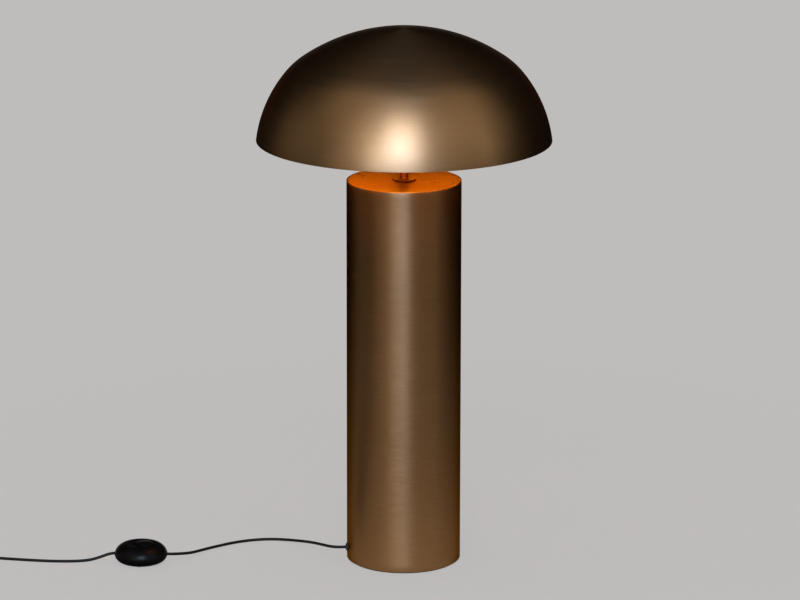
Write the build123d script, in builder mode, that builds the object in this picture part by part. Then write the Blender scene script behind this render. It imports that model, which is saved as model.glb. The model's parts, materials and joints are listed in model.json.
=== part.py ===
from build123d import *
from math import atan2, cos, degrees, pi, radians, sin, sqrt, tan
import os

# Mushroom floor lamp. Millimetres, +Z up, origin on the floor under the column's axis.
# The front of the lamp faces -Y and the lead leaves the column on its -X side.

# ---------------------------------------------------------------- driving dimensions
# Column
column_radius = 78.0
column_top = 534.0
column_wall = 1.5
column_edge_break = 0.4

# Shade: three arcs, tangent to each other, from the crown down to the rim
crown_radius = 247.2
crown_turn = 34.4
shoulder_radius = 105.7
shoulder_turn = 16.4
skirt_radius = 176.1
skirt_turn = 31.9
shade_gap = 56.0
shade_wall = 1.2
shade_weld_gap = 0.1

# Foot of the column
pad_thickness = 2.0
pad_inset = 2.0
base_plate_thickness = 1.5
weight_thickness = 20.0
weight_clearance = 0.6
channel_width = 15.0
channel_depth_from_axis = 22.0
bracket_count = 3
bracket_wall = 2.5
bracket_foot = 16.0
bracket_height = 18.0
bracket_arc = 12.0
base_screw_radius = 2.5
base_screw_head_radius = 4.5
base_screw_head = 1.7
base_screw_inset = 9.0
base_screw_stick_out = 2.0
hex_socket_radius = 1.7
hex_socket_depth = 1.0

# Top plate and its seat
plate_thickness = 2.0
plate_wall = 1.5
plate_skirt = 10.0
plate_edge_break = 0.3
seat_ring_width = 3.0
seat_ring_height = 3.0

# Neck
nipple_radius = 5.0
nipple_bore = 3.2
nipple_below_nut = 3.0
nut_across_flats = 14.0
nut_height = 4.0
washer_radius = 10.0
washer_thickness = 1.5
spacer_radius = 6.0
spacer_height = 1.2
disc_radius = 16.4
disc_thickness = 1.2

# Bulb holder
collar_to_rim = 10.0
cap_height = 24.0
cap_floor = 8.0
cap_boss_radius = 8.0
cap_boss_height = 5.0
cap_flare_height = 14.0
cap_wall = 1.8
holder_radius = 19.0
collar_height_in_holder = 38.0
collar_radius = 24.0
collar_thickness = 4.0
holder_height = 60.0
core_height = 12.0
core_flange = 1.2
core_flange_width = 1.2
shell_outer_radius = 14.2
shell_wall = 0.75
shell_height = 22.0
grub_screw_radius = 1.5
terminal_spacing = 18.0
terminal_size = 6.0
terminal_height = 6.5
terminal_screw_radius = 1.3
core_wire_radius = 0.9
shade_ring_radius = 27.0
shade_ring_height = 8.0
shade_ring_notches = 24
shade_ring_notch = 1.0

# Spider that carries the shade
hub_width = 11.0
spider_thickness = 2.0
arm_count = 3
arm_width = 12.0
arm_first_azimuth = 90.0
foot_height = 20.0
foot_arc = 6.0

# Bulb
bulb_length = 105.0
bulb_radius = 30.0
bulb_neck_radius = 12.4
bulb_neck_blend = 40.0
bulb_glass_wall = 0.8
bulb_cap_radius = 13.05
bulb_cap_wall = 0.4
bulb_cap_height = 20.0
bulb_insulator_height = 4.0
bulb_tip_radius = 4.6
bulb_tip_height = 2.0
mount_radius = 4.0
mount_height = 24.0
filament_radius = 1.0
filament_circle = 8.5
filament_length = 39.0
filament_count = 4
star_thickness = 1.2

# Lead
lead_radius = 2.0
lead_fit = 0.3
corner_share = 0.45
exit_azimuth = 188.0
exit_height = 18.0
grommet_radius = 6.0
grommet_neck_radius = 4.4
grommet_flange = 2.4
grommet_inner_flange = 1.8
grommet_hole_fit = 0.1
clamp_distance = 8.0
clamp_length = 10.0
clamp_width = 26.0
clamp_height = 8.0
clamp_screw_radius = 1.5
clamp_screw_spacing = 17.0
clamp_screw_length = 16.0
clamp_screw_head_radius = 2.8
clamp_screw_head = 2.0
lead_first_run = 24.4
lead_climb_start = 14.0
lead_offset = 30.0
lead_rise = 62.2
lead_below_nipple = 60.0
lead_easy_bend = 60.0

# Foot switch
switch_x = -361.5
switch_y = -16.5
switch_turn = -5.0
switch_radius = 36.5
switch_floor = 1.0
switch_split = 11.5
switch_wall = 2.0
switch_base_radius = 28.0
switch_land_height = 25.6
switch_land_radius = 17.0
recess_depth = 1.2
recess_slope = 1.0
button_offset = 5.0
button_radius = 12.3
button_fit = 0.4
button_travel = 3.0
button_rise = 2.2
button_crown = 1.6
button_flange = 1.9
button_flange_thickness = 1.6
plunger_radius = 3.5
plunger_fit = 0.08
spring_radius = 5.4
spring_wire = 0.8
spring_turns = 5
block_length = 22.0
block_width = 14.0
block_height = 10.0
bridge_length = 11.0
bridge_width = 4.0
bridge_thickness = 1.0
bridge_end_gap = 0.4
grip_length = 7.0
grip_width = 8.0
cord_end_distance = 26.5
switch_foot_radius = 4.0
switch_foot_recess = 0.5
switch_foot_circle = 22.5
switch_screw_radius = 1.5
switch_screw_head_radius = 2.8
switch_screw_circle = 24.0
switch_post_wall = 1.0
switch_screw_bite = 5.0

# Put-away coil, tie and plug
coil_distance = 238.5
coil_sideways = -20.5
coil_mean_radius = 24.0
coil_turns = 7.25
coil_steps = 15
turn_gap = 0.45
tie_thickness = 0.4
tie_gap = 0.15
tie_width = 5.0
tie_azimuth = -90.0
plug_thickness = 14.0
plug_nose_width = 13.0
plug_shoulder_width = 24.0
plug_face_width = 35.3
plug_nose_length = 12.0
plug_taper_length = 14.0
plug_face_length = 8.0
plug_rounding = 2.2
relief_length = 30.0
relief_small_radius = 3.1
relief_large_radius = 5.4
relief_grooves = 5
relief_groove_depth = 0.7
relief_groove_width = 1.6
pin_radius = 2.0
pin_core_radius = 1.5
pin_spacing = 18.6
pin_length = 19.0
pin_sleeve_length = 10.0
pin_sleeve_radius = 1.9
pin_root = 12.0

# Fits
insert_fit = 0.1
thread_fit = 0.05
clearance_fit = 0.2
slip_fit = 0.3

# ---------------------------------------------------------------- derived places
column_bore = column_radius - column_wall
base_plate_radius = column_bore - clearance_fit
weight_bottom = pad_thickness + base_plate_thickness
weight_top = weight_bottom + weight_thickness
plate_radius = column_bore - insert_fit
plate_underside = column_top - plate_thickness
seat_ring_top = column_top - plate_skirt

washer_bottom = plate_underside - washer_thickness
nut_bottom = washer_bottom - nut_height
nipple_bottom = nut_bottom - nipple_below_nut
disc_bottom = column_top + spacer_height
disc_top = disc_bottom + disc_thickness

shade_rim = column_top + shade_gap
shoulder_start = crown_turn
skirt_start = crown_turn + shoulder_turn
rim_turn = skirt_start + skirt_turn
crown_drop = crown_radius * (1 - cos(radians(shoulder_start)))
shoulder_drop = shoulder_radius * (cos(radians(shoulder_start)) - cos(radians(skirt_start)))
skirt_drop = skirt_radius * (cos(radians(skirt_start)) - cos(radians(rim_turn)))
shade_top = shade_rim + crown_drop + shoulder_drop + skirt_drop
crown_centre = (0.0, shade_top - crown_radius)
shoulder_centre = (
    (crown_radius - shoulder_radius) * sin(radians(shoulder_start)),
    crown_centre[1] + (crown_radius - shoulder_radius) * cos(radians(shoulder_start)),
)
skirt_centre = (
    shoulder_centre[0] - (skirt_radius - shoulder_radius) * sin(radians(skirt_start)),
    shoulder_centre[1] - (skirt_radius - shoulder_radius) * cos(radians(skirt_start)),
)

hub_bottom = shade_rim + collar_to_rim
hub_top = hub_bottom + spider_thickness
holder_bottom = hub_bottom - collar_height_in_holder
sleeve_length = holder_bottom - disc_top
cap_top = holder_bottom + cap_height
core_top = cap_top + core_height
shell_inner_radius = shell_outer_radius - shell_wall
core_radius = holder_radius - cap_wall - clearance_fit
nipple_top = holder_bottom + cap_floor + 1.0
lead_end = nipple_top + 1.0

contact_rise = 5.0
bulb_bottom = core_top + contact_rise
bulb_top = bulb_bottom + bulb_length
insulator_bottom = bulb_bottom + bulb_tip_height
bulb_cap_bottom = insulator_bottom + bulb_insulator_height
glass_bottom = bulb_cap_bottom + 0.6 * bulb_cap_height
globe_height = bulb_top - bulb_radius

# The lead leaves the column square to its wall
exit_direction = (cos(radians(exit_azimuth)), sin(radians(exit_azimuth)), 0)
exit_side = (-sin(radians(exit_azimuth)), cos(radians(exit_azimuth)), 0)
grommet_face = column_radius + grommet_flange
lead_on_weight = weight_top + lead_radius + clearance_fit


def radial_plane(azimuth, height=0.0):
    """Upright plane through the lamp's axis: local x points outwards, local y up."""
    a = radians(azimuth)
    return Plane(origin=(0, 0, height), x_dir=(cos(a), sin(a), 0), z_dir=(sin(a), -cos(a), 0))


def exit_point(outwards, height):
    """Point in the upright plane of the lead's exit."""
    return Vector(outwards * exit_direction[0], outwards * exit_direction[1], height)


def on_arc(centre, radius, angle):
    """Point of a shade arc, with the angle counted from straight up."""
    return (centre[0] + radius * sin(radians(angle)), centre[1] + radius * cos(radians(angle)))


def arc_span(centre, radius, first, last):
    """Arc of the shade's profile between two angles from straight up."""
    return ThreePointArc(
        on_arc(centre, radius, first),
        on_arc(centre, radius, (first + last) / 2),
        on_arc(centre, radius, last),
    )


def route(start, end, stages):
    """Corner points between two places.

    Each stage is a share of the way, an offset towards the back, and a height as a share
    of the nearer end's height above a lead that lies on the floor.
    """
    points = []
    for share, sideways, lift in stages:
        near = start if share < 0.5 else end
        x = start.X + share * (end.X - start.X)
        y = start.Y + share * (end.Y - start.Y) + sideways
        points.append(Vector(x, y, lead_radius + lift * (near.Z - lead_radius)))
    return points


def route_radii(points):
    """Corner radii of a lead's route: a share of the shorter run at each corner."""
    radii = []
    for before, here, after in zip(points, points[1:], points[2:]):
        run_in = Vector(*here) - Vector(*before)
        run_out = Vector(*after) - Vector(*here)
        half_turn = radians(run_in.get_angle(run_out)) / 2
        radii.append(corner_share * min(run_in.length, run_out.length) / tan(half_turn))
    return radii


def report_tube(name, solid, path, radii):
    """Print a tube's length, its volume against section times length, and its bends."""
    length = sum(edge.length for edge in path.edges())
    ideal = pi * lead_radius**2 * length
    print(f"{name}: length {length:.1f}, volume ratio {solid.volume / ideal:.5f}, "
          f"radii {[round(r, 1) for r in radii]}")


# ================================================================ column
grommet_plane = Plane(
    origin=exit_point(column_bore, exit_height), x_dir=exit_side, z_dir=exit_direction
)

with BuildPart() as column_tube:
    with BuildSketch(Plane.XY.offset(pad_thickness)):
        Circle(column_radius)
        Circle(column_bore, mode=Mode.SUBTRACT)
    extrude(amount=column_top - pad_thickness)
    chamfer(column_tube.edges().group_by(Axis.Z)[-1], column_edge_break)
    with BuildSketch(grommet_plane):
        Circle(grommet_neck_radius + grommet_hole_fit)
    extrude(amount=2 * column_wall, both=True, mode=Mode.SUBTRACT)
column_tube.part.label = "column_tube"

with BuildPart() as plate_seat_ring:
    with BuildSketch(Plane.XY.offset(seat_ring_top - seat_ring_height)):
        Circle(plate_radius)
        Circle(plate_radius - seat_ring_width, mode=Mode.SUBTRACT)
    extrude(amount=seat_ring_height)
plate_seat_ring.part.label = "plate_seat_ring"

with BuildPart() as top_plate:
    with BuildSketch(Plane.XY.offset(seat_ring_top)):
        Circle(plate_radius)
    extrude(amount=plate_skirt)
    with BuildSketch(Plane.XY.offset(seat_ring_top)):
        Circle(plate_radius - plate_wall)
    extrude(amount=plate_skirt - plate_thickness, mode=Mode.SUBTRACT)
    with BuildSketch(Plane.XY.offset(plate_underside)):
        Circle(nipple_radius + clearance_fit)
    extrude(amount=plate_thickness, mode=Mode.SUBTRACT)
    rim_edge = top_plate.edges().group_by(Axis.Z)[-1].sort_by(SortBy.RADIUS)[-1]
    chamfer(rim_edge, plate_edge_break)
top_plate.part.label = "top_plate"

# ---------------------------------------------------------------- foot of the column
bracket_azimuths = [90 + 360 * i / bracket_count for i in range(bracket_count)]
screw_circle = base_plate_radius - base_screw_inset
screw_places = PolarLocations(screw_circle, bracket_count, start_angle=bracket_azimuths[0])

with BuildPart() as base_pad:
    with BuildSketch():
        Circle(base_plate_radius - pad_inset)
        with screw_places:
            Circle(base_screw_head_radius + slip_fit, mode=Mode.SUBTRACT)
    extrude(amount=pad_thickness)
base_pad.part.label = "base_pad"

with BuildPart() as base_plate:
    with BuildSketch(Plane.XY.offset(pad_thickness)):
        Circle(base_plate_radius)
        with screw_places:
            Circle(base_screw_radius + clearance_fit, mode=Mode.SUBTRACT)
    extrude(amount=base_plate_thickness)
base_plate.part.label = "base_plate"

channel_plane = Plane(
    origin=(0, 0, weight_bottom), x_dir=exit_direction, z_dir=(0, 0, 1)
)
channel_length = column_radius - channel_depth_from_axis
clamp_plane = Plane(origin=(0, 0, weight_top), x_dir=exit_direction, z_dir=(0, 0, 1))
clamp_places = [
    (clamp_distance, -clamp_screw_spacing / 2),
    (clamp_distance, clamp_screw_spacing / 2),
]
clamp_screw_depth = clamp_screw_length - clamp_height

with BuildPart() as base_weight:
    with BuildSketch(Plane.XY.offset(weight_bottom)):
        Circle(column_bore - weight_clearance)
        with screw_places:
            Circle(base_screw_radius + clearance_fit, mode=Mode.SUBTRACT)
    extrude(amount=weight_thickness)
    with BuildSketch(channel_plane):
        with Locations((channel_depth_from_axis + channel_length / 2, 0)):
            Rectangle(channel_length, channel_width)
    extrude(amount=weight_thickness, mode=Mode.SUBTRACT)
    with BuildSketch(clamp_plane):
        with Locations(*clamp_places):
            Circle(clamp_screw_radius + thread_fit)
    extrude(amount=-clamp_screw_depth - 1.0, mode=Mode.SUBTRACT)
base_weight.part.label = "base_weight"

bracket_outside = column_bore - insert_fit
with BuildPart() as tube_brackets:
    for azimuth in bracket_azimuths:
        with BuildSketch(radial_plane(azimuth - bracket_arc / 2, weight_top)):
            with Locations((bracket_outside, 0)):
                Rectangle(bracket_foot, bracket_wall, align=(Align.MAX, Align.MIN))
                Rectangle(bracket_wall, bracket_height, align=(Align.MAX, Align.MIN))
        revolve(axis=Axis.Z, revolution_arc=bracket_arc)
    with BuildSketch(Plane.XY.offset(weight_top)):
        with screw_places:
            Circle(base_screw_radius + thread_fit)
    extrude(amount=bracket_wall, mode=Mode.SUBTRACT)
tube_brackets.part.label = "tube_brackets"

base_screw_length = base_plate_thickness + weight_thickness + bracket_wall + base_screw_stick_out
with BuildPart() as base_screws:
    with BuildSketch(Plane.XY.offset(pad_thickness - base_screw_head)):
        with screw_places:
            Circle(base_screw_head_radius)
    extrude(amount=base_screw_head)
    with BuildSketch(Plane.XY.offset(pad_thickness)):
        with screw_places:
            Circle(base_screw_radius)
    extrude(amount=base_screw_length)
    with BuildSketch(Plane.XY.offset(pad_thickness - base_screw_head)):
        with screw_places:
            RegularPolygon(hex_socket_radius, 6)
    extrude(amount=hex_socket_depth, mode=Mode.SUBTRACT)
base_screws.part.label = "base_screws"

# ---------------------------------------------------------------- lead exit
grommet_axis_plane = Plane(
    origin=(0, 0, exit_height), x_dir=exit_direction, z_dir=exit_side
)
grommet_axis = Axis((0, 0, exit_height), exit_direction)
wall_sag = column_bore - sqrt(column_bore**2 - grommet_radius**2)
inner_flange_face = column_bore - wall_sag - 0.05

with BuildPart() as lead_grommet:
    with BuildSketch(grommet_axis_plane):
        with BuildLine():
            Polyline(
                (inner_flange_face - grommet_inner_flange, lead_radius + thread_fit),
                (inner_flange_face - grommet_inner_flange, grommet_radius - 1.0),
                (inner_flange_face, grommet_radius - 0.4),
                (inner_flange_face, grommet_neck_radius),
                (column_radius + 0.05, grommet_neck_radius),
                (column_radius + 0.05, grommet_radius),
                (column_radius + 0.4 * grommet_flange, grommet_radius),
                (grommet_face, 0.62 * grommet_radius),
                (grommet_face, lead_radius + thread_fit),
                close=True,
            )
        make_face()
    revolve(axis=grommet_axis)
lead_grommet.part.label = "lead_grommet"

with BuildPart() as lead_clamp:
    with BuildSketch(clamp_plane):
        with Locations((clamp_distance, 0)):
            Rectangle(clamp_length, clamp_width)
    extrude(amount=clamp_height)
    with BuildSketch(clamp_plane):
        with Locations((clamp_distance, 0)):
            Rectangle(clamp_length, 2 * (lead_radius + clearance_fit))
    extrude(amount=lead_radius + clearance_fit, mode=Mode.SUBTRACT)
    arch_plane = Plane(
        origin=exit_point(clamp_distance - clamp_length / 2, lead_on_weight),
        x_dir=exit_side,
        z_dir=exit_direction,
    )
    with BuildSketch(arch_plane):
        Circle(lead_radius + clearance_fit)
    extrude(amount=clamp_length, mode=Mode.SUBTRACT)
    with BuildSketch(clamp_plane):
        with Locations(*clamp_places):
            Circle(clamp_screw_radius + clearance_fit)
    extrude(amount=clamp_height, mode=Mode.SUBTRACT)
    fillet(lead_clamp.edges().filter_by(Axis.Z).group_by(SortBy.LENGTH)[-1], 1.0)
lead_clamp.part.label = "lead_clamp"

with BuildPart() as clamp_screws:
    with BuildSketch(clamp_plane.offset(-clamp_screw_depth)):
        with Locations(*clamp_places):
            Circle(clamp_screw_radius)
    extrude(amount=clamp_screw_length)
    with BuildSketch(clamp_plane.offset(clamp_height)):
        with Locations(*clamp_places):
            Circle(clamp_screw_head_radius)
    extrude(amount=clamp_screw_head)
clamp_screws.part.label = "clamp_screws"

# Lead inside the column: in through the grommet, up the weight's channel, under the
# clamp, then up beside the axis and through the hollow nipple
column_lead_points = [
    exit_point(grommet_face, exit_height),
    exit_point(grommet_face - lead_first_run, exit_height),
    exit_point(channel_depth_from_axis + lead_climb_start, lead_on_weight),
    exit_point(-lead_offset, lead_on_weight),
    exit_point(-lead_offset, lead_on_weight + lead_rise),
    exit_point(0.0, nipple_bottom - lead_below_nipple),
    exit_point(0.0, lead_end),
]
column_lead_radii = [min(r, lead_easy_bend) for r in route_radii(column_lead_points)]

with BuildPart() as column_lead:
    with BuildLine() as column_lead_path:
        FilletPolyline(*column_lead_points, radius=column_lead_radii)
    with BuildSketch(
        Plane(origin=column_lead_points[0], x_dir=exit_side, z_dir=-Vector(*exit_direction))
    ):
        Circle(lead_radius)
    sweep(path=column_lead_path.line)
column_lead.part.label = "column_lead"
report_tube("column_lead", column_lead.part, column_lead_path, column_lead_radii)

# ================================================================ neck
with BuildPart() as stem_nipple:
    with BuildSketch(Plane.XY.offset(nipple_bottom)):
        Circle(nipple_radius)
        Circle(nipple_bore, mode=Mode.SUBTRACT)
    extrude(amount=nipple_top - nipple_bottom)
stem_nipple.part.label = "stem_nipple"

with BuildPart() as stem_nut:
    with BuildSketch(Plane.XY.offset(nut_bottom)):
        RegularPolygon(nut_across_flats / 2, 6, major_radius=False)
        Circle(nipple_radius + thread_fit, mode=Mode.SUBTRACT)
    extrude(amount=nut_height)
stem_nut.part.label = "stem_nut"

with BuildPart() as stem_washer:
    with BuildSketch(Plane.XY.offset(washer_bottom)):
        Circle(washer_radius)
        Circle(nipple_radius + clearance_fit, mode=Mode.SUBTRACT)
    extrude(amount=washer_thickness)
stem_washer.part.label = "stem_washer"

with BuildPart() as stem_spacer:
    with BuildSketch(Plane.XY.offset(column_top)):
        Circle(spacer_radius)
        Circle(nipple_radius + clearance_fit, mode=Mode.SUBTRACT)
    extrude(amount=spacer_height)
stem_spacer.part.label = "stem_spacer"

with BuildPart() as stem_disc:
    with BuildSketch(Plane.XY.offset(disc_bottom)):
        Circle(disc_radius)
        Circle(nipple_radius + clearance_fit, mode=Mode.SUBTRACT)
    extrude(amount=disc_thickness)
    disc_rims = stem_disc.edges().filter_by(GeomType.CIRCLE).sort_by(SortBy.RADIUS)[-2:]
    chamfer(disc_rims, disc_thickness / 5)
stem_disc.part.label = "stem_disc"

with BuildPart() as stem_sleeve:
    with BuildSketch(Plane.XY.offset(disc_top)):
        Circle(spacer_radius)
        Circle(nipple_radius + clearance_fit, mode=Mode.SUBTRACT)
    extrude(amount=sleeve_length)
stem_sleeve.part.label = "stem_sleeve"

# ================================================================ bulb holder
axis_plane = radial_plane(0.0)
grub_height = holder_bottom + cap_boss_height / 2
grub_plane = Plane(origin=(0, -nipple_radius, grub_height), x_dir=(1, 0, 0), z_dir=(0, -1, 0))
with BuildPart() as holder_cap:
    with BuildSketch(radial_plane(0.0, holder_bottom)):
        with BuildLine():
            Polyline(
                (nipple_radius + thread_fit, 0),
                (cap_boss_radius, 0),
                (cap_boss_radius, cap_boss_height),
                (holder_radius, cap_flare_height),
                (holder_radius, cap_height),
                (holder_radius - cap_wall, cap_height),
                (holder_radius - cap_wall, cap_flare_height + cap_wall),
                (cap_boss_radius + 1.0, cap_floor),
                (nipple_radius + thread_fit, cap_floor),
                close=True,
            )
        make_face()
    revolve(axis=Axis.Z)
    with BuildSketch(grub_plane):
        Circle(grub_screw_radius + thread_fit)
    extrude(amount=cap_boss_radius, mode=Mode.SUBTRACT)
holder_cap.part.label = "holder_cap"

with BuildPart() as holder_grub_screw:
    with BuildSketch(grub_plane):
        Circle(grub_screw_radius)
    extrude(amount=cap_boss_radius - nipple_radius + 0.5)
holder_grub_screw.part.label = "holder_grub_screw"

rebate_radius = core_radius + core_flange_width + thread_fit
with BuildPart() as holder_body:
    with BuildSketch(radial_plane(0.0, holder_bottom)):
        with BuildLine():
            Polyline(
                (rebate_radius, cap_height),
                (holder_radius + 0.6, cap_height),
                (holder_radius + 0.6, collar_height_in_holder - collar_thickness),
                (collar_radius, collar_height_in_holder - collar_thickness),
                (collar_radius, collar_height_in_holder),
                (holder_radius, collar_height_in_holder),
                (holder_radius, holder_height),
                (shell_outer_radius + clearance_fit, holder_height),
                (shell_outer_radius + clearance_fit, cap_height + core_height),
                (core_radius + clearance_fit, cap_height + core_height),
                (core_radius + clearance_fit, cap_height + core_flange + thread_fit),
                (rebate_radius, cap_height + core_flange + thread_fit),
                close=True,
            )
        make_face()
    revolve(axis=Axis.Z)
holder_body.part.label = "holder_body"

terminal_places = [(-terminal_spacing / 2, 0), (terminal_spacing / 2, 0)]
with BuildPart() as holder_core:
    with BuildSketch(Plane.XY.offset(cap_top)):
        Circle(core_radius)
    extrude(amount=core_height)
    with BuildSketch(Plane.XY.offset(cap_top)):
        Circle(core_radius + core_flange_width)
    extrude(amount=core_flange)
    with BuildSketch(Plane.XY.offset(cap_top)):
        with Locations(*terminal_places):
            Circle(terminal_screw_radius + clearance_fit)
    extrude(amount=core_height / 2, mode=Mode.SUBTRACT)
holder_core.part.label = "holder_core"

with BuildPart() as holder_terminals:
    with BuildSketch(Plane.XY.offset(cap_top - terminal_height)):
        with Locations(*terminal_places):
            Rectangle(terminal_size, terminal_size)
    extrude(amount=terminal_height)
    with BuildSketch(Plane.XY.offset(cap_top)):
        with Locations(*terminal_places):
            Circle(terminal_screw_radius)
    extrude(amount=core_height / 2 - 1.0)
holder_terminals.part.label = "holder_terminals"

with BuildPart() as thread_shell:
    with BuildSketch(Plane.XY.offset(core_top)):
        Circle(shell_outer_radius)
        Circle(shell_inner_radius, mode=Mode.SUBTRACT)
    extrude(amount=shell_height)
    with BuildSketch(Plane.XY.offset(core_top)):
        Circle(shell_outer_radius)
        Circle(shell_inner_radius - 2.0, mode=Mode.SUBTRACT)
    extrude(amount=shell_wall)
thread_shell.part.label = "thread_shell"

tongue_thickness = 0.6
contact_reach = 9.0
with BuildPart() as centre_contact:
    with BuildSketch(radial_plane(0.0, core_top)):
        with BuildLine():
            Polyline(
                (-contact_reach, 0),
                (-3.0, 0),
                (2.0, contact_rise - tongue_thickness - 0.1),
                (5.0, contact_rise - tongue_thickness - 0.1),
                (5.0, contact_rise - 0.1),
                (1.6, contact_rise - 0.1),
                (-3.4, tongue_thickness),
                (-contact_reach, tongue_thickness),
                close=True,
            )
        make_face()
    extrude(amount=3.0, both=True)
centre_contact.part.label = "centre_contact"

# Two cores of the lead, from its end to the terminals
core_wire_points = [
    (core_wire_radius + 0.1, 0, lead_end),
    (core_wire_radius + 0.1, 0, lead_end + 1.6),
    (terminal_spacing / 2, 0, cap_top - terminal_height - 2.2),
    (terminal_spacing / 2, 0, cap_top - terminal_height),
]
core_wire_radii = [0.9 * r for r in route_radii(core_wire_points)]
with BuildPart() as lead_cores:
    with BuildLine() as core_wire_path:
        FilletPolyline(*core_wire_points, radius=core_wire_radii)
    with BuildSketch(Plane.XY.offset(lead_end)):
        with Locations((core_wire_radius + 0.1, 0)):
            Circle(core_wire_radius)
    sweep(path=core_wire_path.line)
    mirror(about=Plane.YZ)
lead_cores.part.label = "lead_cores"

with BuildPart() as shade_ring:
    with BuildSketch(Plane.XY.offset(hub_top)):
        Circle(shade_ring_radius)
        Circle(holder_radius + insert_fit, mode=Mode.SUBTRACT)
        with PolarLocations(shade_ring_radius, shade_ring_notches):
            Circle(shade_ring_notch, mode=Mode.SUBTRACT)
    extrude(amount=shade_ring_height)
shade_ring.part.label = "shade_ring"

# ================================================================ bulb
blend_reach = bulb_neck_radius + bulb_neck_blend
blend_distance = bulb_radius + bulb_neck_blend
blend_height = globe_height - sqrt(blend_distance**2 - blend_reach**2)
blend_angle = degrees(atan2(globe_height - blend_height, blend_reach))


def bulb_wall(inset):
    """Profile points of the bulb's glass, moved inwards by inset."""
    blend = bulb_neck_blend + inset
    globe = bulb_radius - inset
    joint = (
        blend_reach - blend * cos(radians(blend_angle)),
        blend_height + blend * sin(radians(blend_angle)),
    )
    half = radians(blend_angle / 2)
    waist = (blend_reach - blend * cos(half), blend_height + blend * sin(half))
    middle = radians((90 - blend_angle) / 2)
    side = (globe * cos(middle), globe_height + globe * sin(middle))
    foot = (bulb_neck_radius - inset, glass_bottom)
    neck = (bulb_neck_radius - inset, blend_height)
    return foot, neck, waist, joint, side, (0.0, globe_height + globe)


with BuildPart() as bulb_glass:
    outer = bulb_wall(0.0)
    inner = bulb_wall(bulb_glass_wall)
    with BuildSketch(axis_plane):
        with BuildLine():
            Line(outer[0], outer[1])
            ThreePointArc(outer[1], outer[2], outer[3])
            ThreePointArc(outer[3], outer[4], outer[5])
            Line(outer[5], inner[5])
            ThreePointArc(inner[5], inner[4], inner[3])
            ThreePointArc(inner[3], inner[2], inner[1])
            Line(inner[1], inner[0])
            Line(inner[0], outer[0])
        make_face()
    revolve(axis=Axis.Z)
bulb_glass.part.label = "bulb_glass"

with BuildPart() as bulb_cap:
    with BuildSketch(Plane.XY.offset(bulb_cap_bottom)):
        Circle(bulb_cap_radius)
        Circle(bulb_cap_radius - bulb_cap_wall, mode=Mode.SUBTRACT)
    extrude(amount=bulb_cap_height)
bulb_cap.part.label = "bulb_cap"

with BuildPart() as bulb_insulator:
    with BuildSketch(radial_plane(0.0, insulator_bottom)):
        with BuildLine():
            Polyline(
                (0, 0),
                (bulb_tip_radius + 0.6, 0),
                (bulb_cap_radius - 1.0, bulb_insulator_height),
                (bulb_cap_radius - bulb_cap_wall, bulb_insulator_height),
                (bulb_cap_radius - bulb_cap_wall, bulb_insulator_height + 1.5),
                (0, bulb_insulator_height + 1.5),
                close=True,
            )
        make_face()
    revolve(axis=Axis.Z)
bulb_insulator.part.label = "bulb_insulator"

with BuildPart() as bulb_tip:
    with BuildSketch(Plane.XY.offset(bulb_bottom)):
        Circle(bulb_tip_radius)
    extrude(amount=bulb_tip_height)
    chamfer(bulb_tip.edges().group_by(Axis.Z)[0], bulb_tip_height / 4)
bulb_tip.part.label = "bulb_tip"

mount_seat = bulb_neck_radius - bulb_glass_wall - thread_fit
star_bottom = glass_bottom + mount_height
star_radius = filament_circle + filament_radius + 0.3
filament_bottom = star_bottom + star_thickness
with BuildPart() as bulb_mount:
    with BuildSketch(Plane.XY.offset(glass_bottom)):
        Circle(mount_seat)
    extrude(amount=star_thickness)
    with BuildSketch(Plane.XY.offset(glass_bottom)):
        Circle(mount_radius)
    extrude(amount=mount_height)
    with BuildSketch(Plane.XY.offset(star_bottom)):
        Circle(star_radius)
    extrude(amount=star_thickness)
    with BuildSketch(Plane.XY.offset(filament_bottom)):
        Circle(filament_radius)
    extrude(amount=filament_length)
    with BuildSketch(Plane.XY.offset(filament_bottom + filament_length)):
        Circle(star_radius)
    extrude(amount=star_thickness)
bulb_mount.part.label = "bulb_mount"

with BuildPart() as bulb_filaments:
    with BuildSketch(Plane.XY.offset(filament_bottom)):
        with PolarLocations(filament_circle, filament_count, start_angle=45):
            Circle(filament_radius)
    extrude(amount=filament_length)
bulb_filaments.part.label = "bulb_filaments"

# ================================================================ shade
with BuildPart() as shade_shell:
    with BuildSketch(axis_plane):
        with BuildLine():
            arc_span(crown_centre, crown_radius, 0, shoulder_start)
            arc_span(shoulder_centre, shoulder_radius, shoulder_start, skirt_start)
            arc_span(skirt_centre, skirt_radius, skirt_start, rim_turn)
            Line(
                on_arc(skirt_centre, skirt_radius, rim_turn),
                on_arc(skirt_centre, skirt_radius - shade_wall, rim_turn),
            )
            arc_span(skirt_centre, skirt_radius - shade_wall, rim_turn, skirt_start)
            arc_span(shoulder_centre, shoulder_radius - shade_wall, skirt_start, shoulder_start)
            arc_span(crown_centre, crown_radius - shade_wall, shoulder_start, 0)
            Line((0, shade_top - shade_wall), (0, shade_top))
        make_face()
    revolve(axis=Axis.Z)
    fillet(shade_shell.edges().group_by(Axis.Z)[0], 0.35 * shade_wall)
shade_shell.part.label = "shade_shell"

# Spider: a hub ring clamped on the holder's collar, arms, and feet that lie along the wall
foot_outside = skirt_radius - shade_wall - shade_weld_gap
foot_inside = foot_outside - spider_thickness


def skirt_angle(height, radius):
    """Angle from straight up at which an arc of the skirt passes a height."""
    return 90 - degrees(atan2(height - skirt_centre[1],
                              sqrt(radius**2 - (height - skirt_centre[1]) ** 2)))


foot_low = skirt_angle(hub_bottom, foot_outside)
foot_high = skirt_angle(hub_bottom + foot_height, foot_outside)
arm_end = on_arc(skirt_centre, foot_outside - spider_thickness / 2, foot_low)[0]
hub_inner = holder_radius + slip_fit
arm_azimuths = [arm_first_azimuth + 360 * i / arm_count for i in range(arm_count)]

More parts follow.
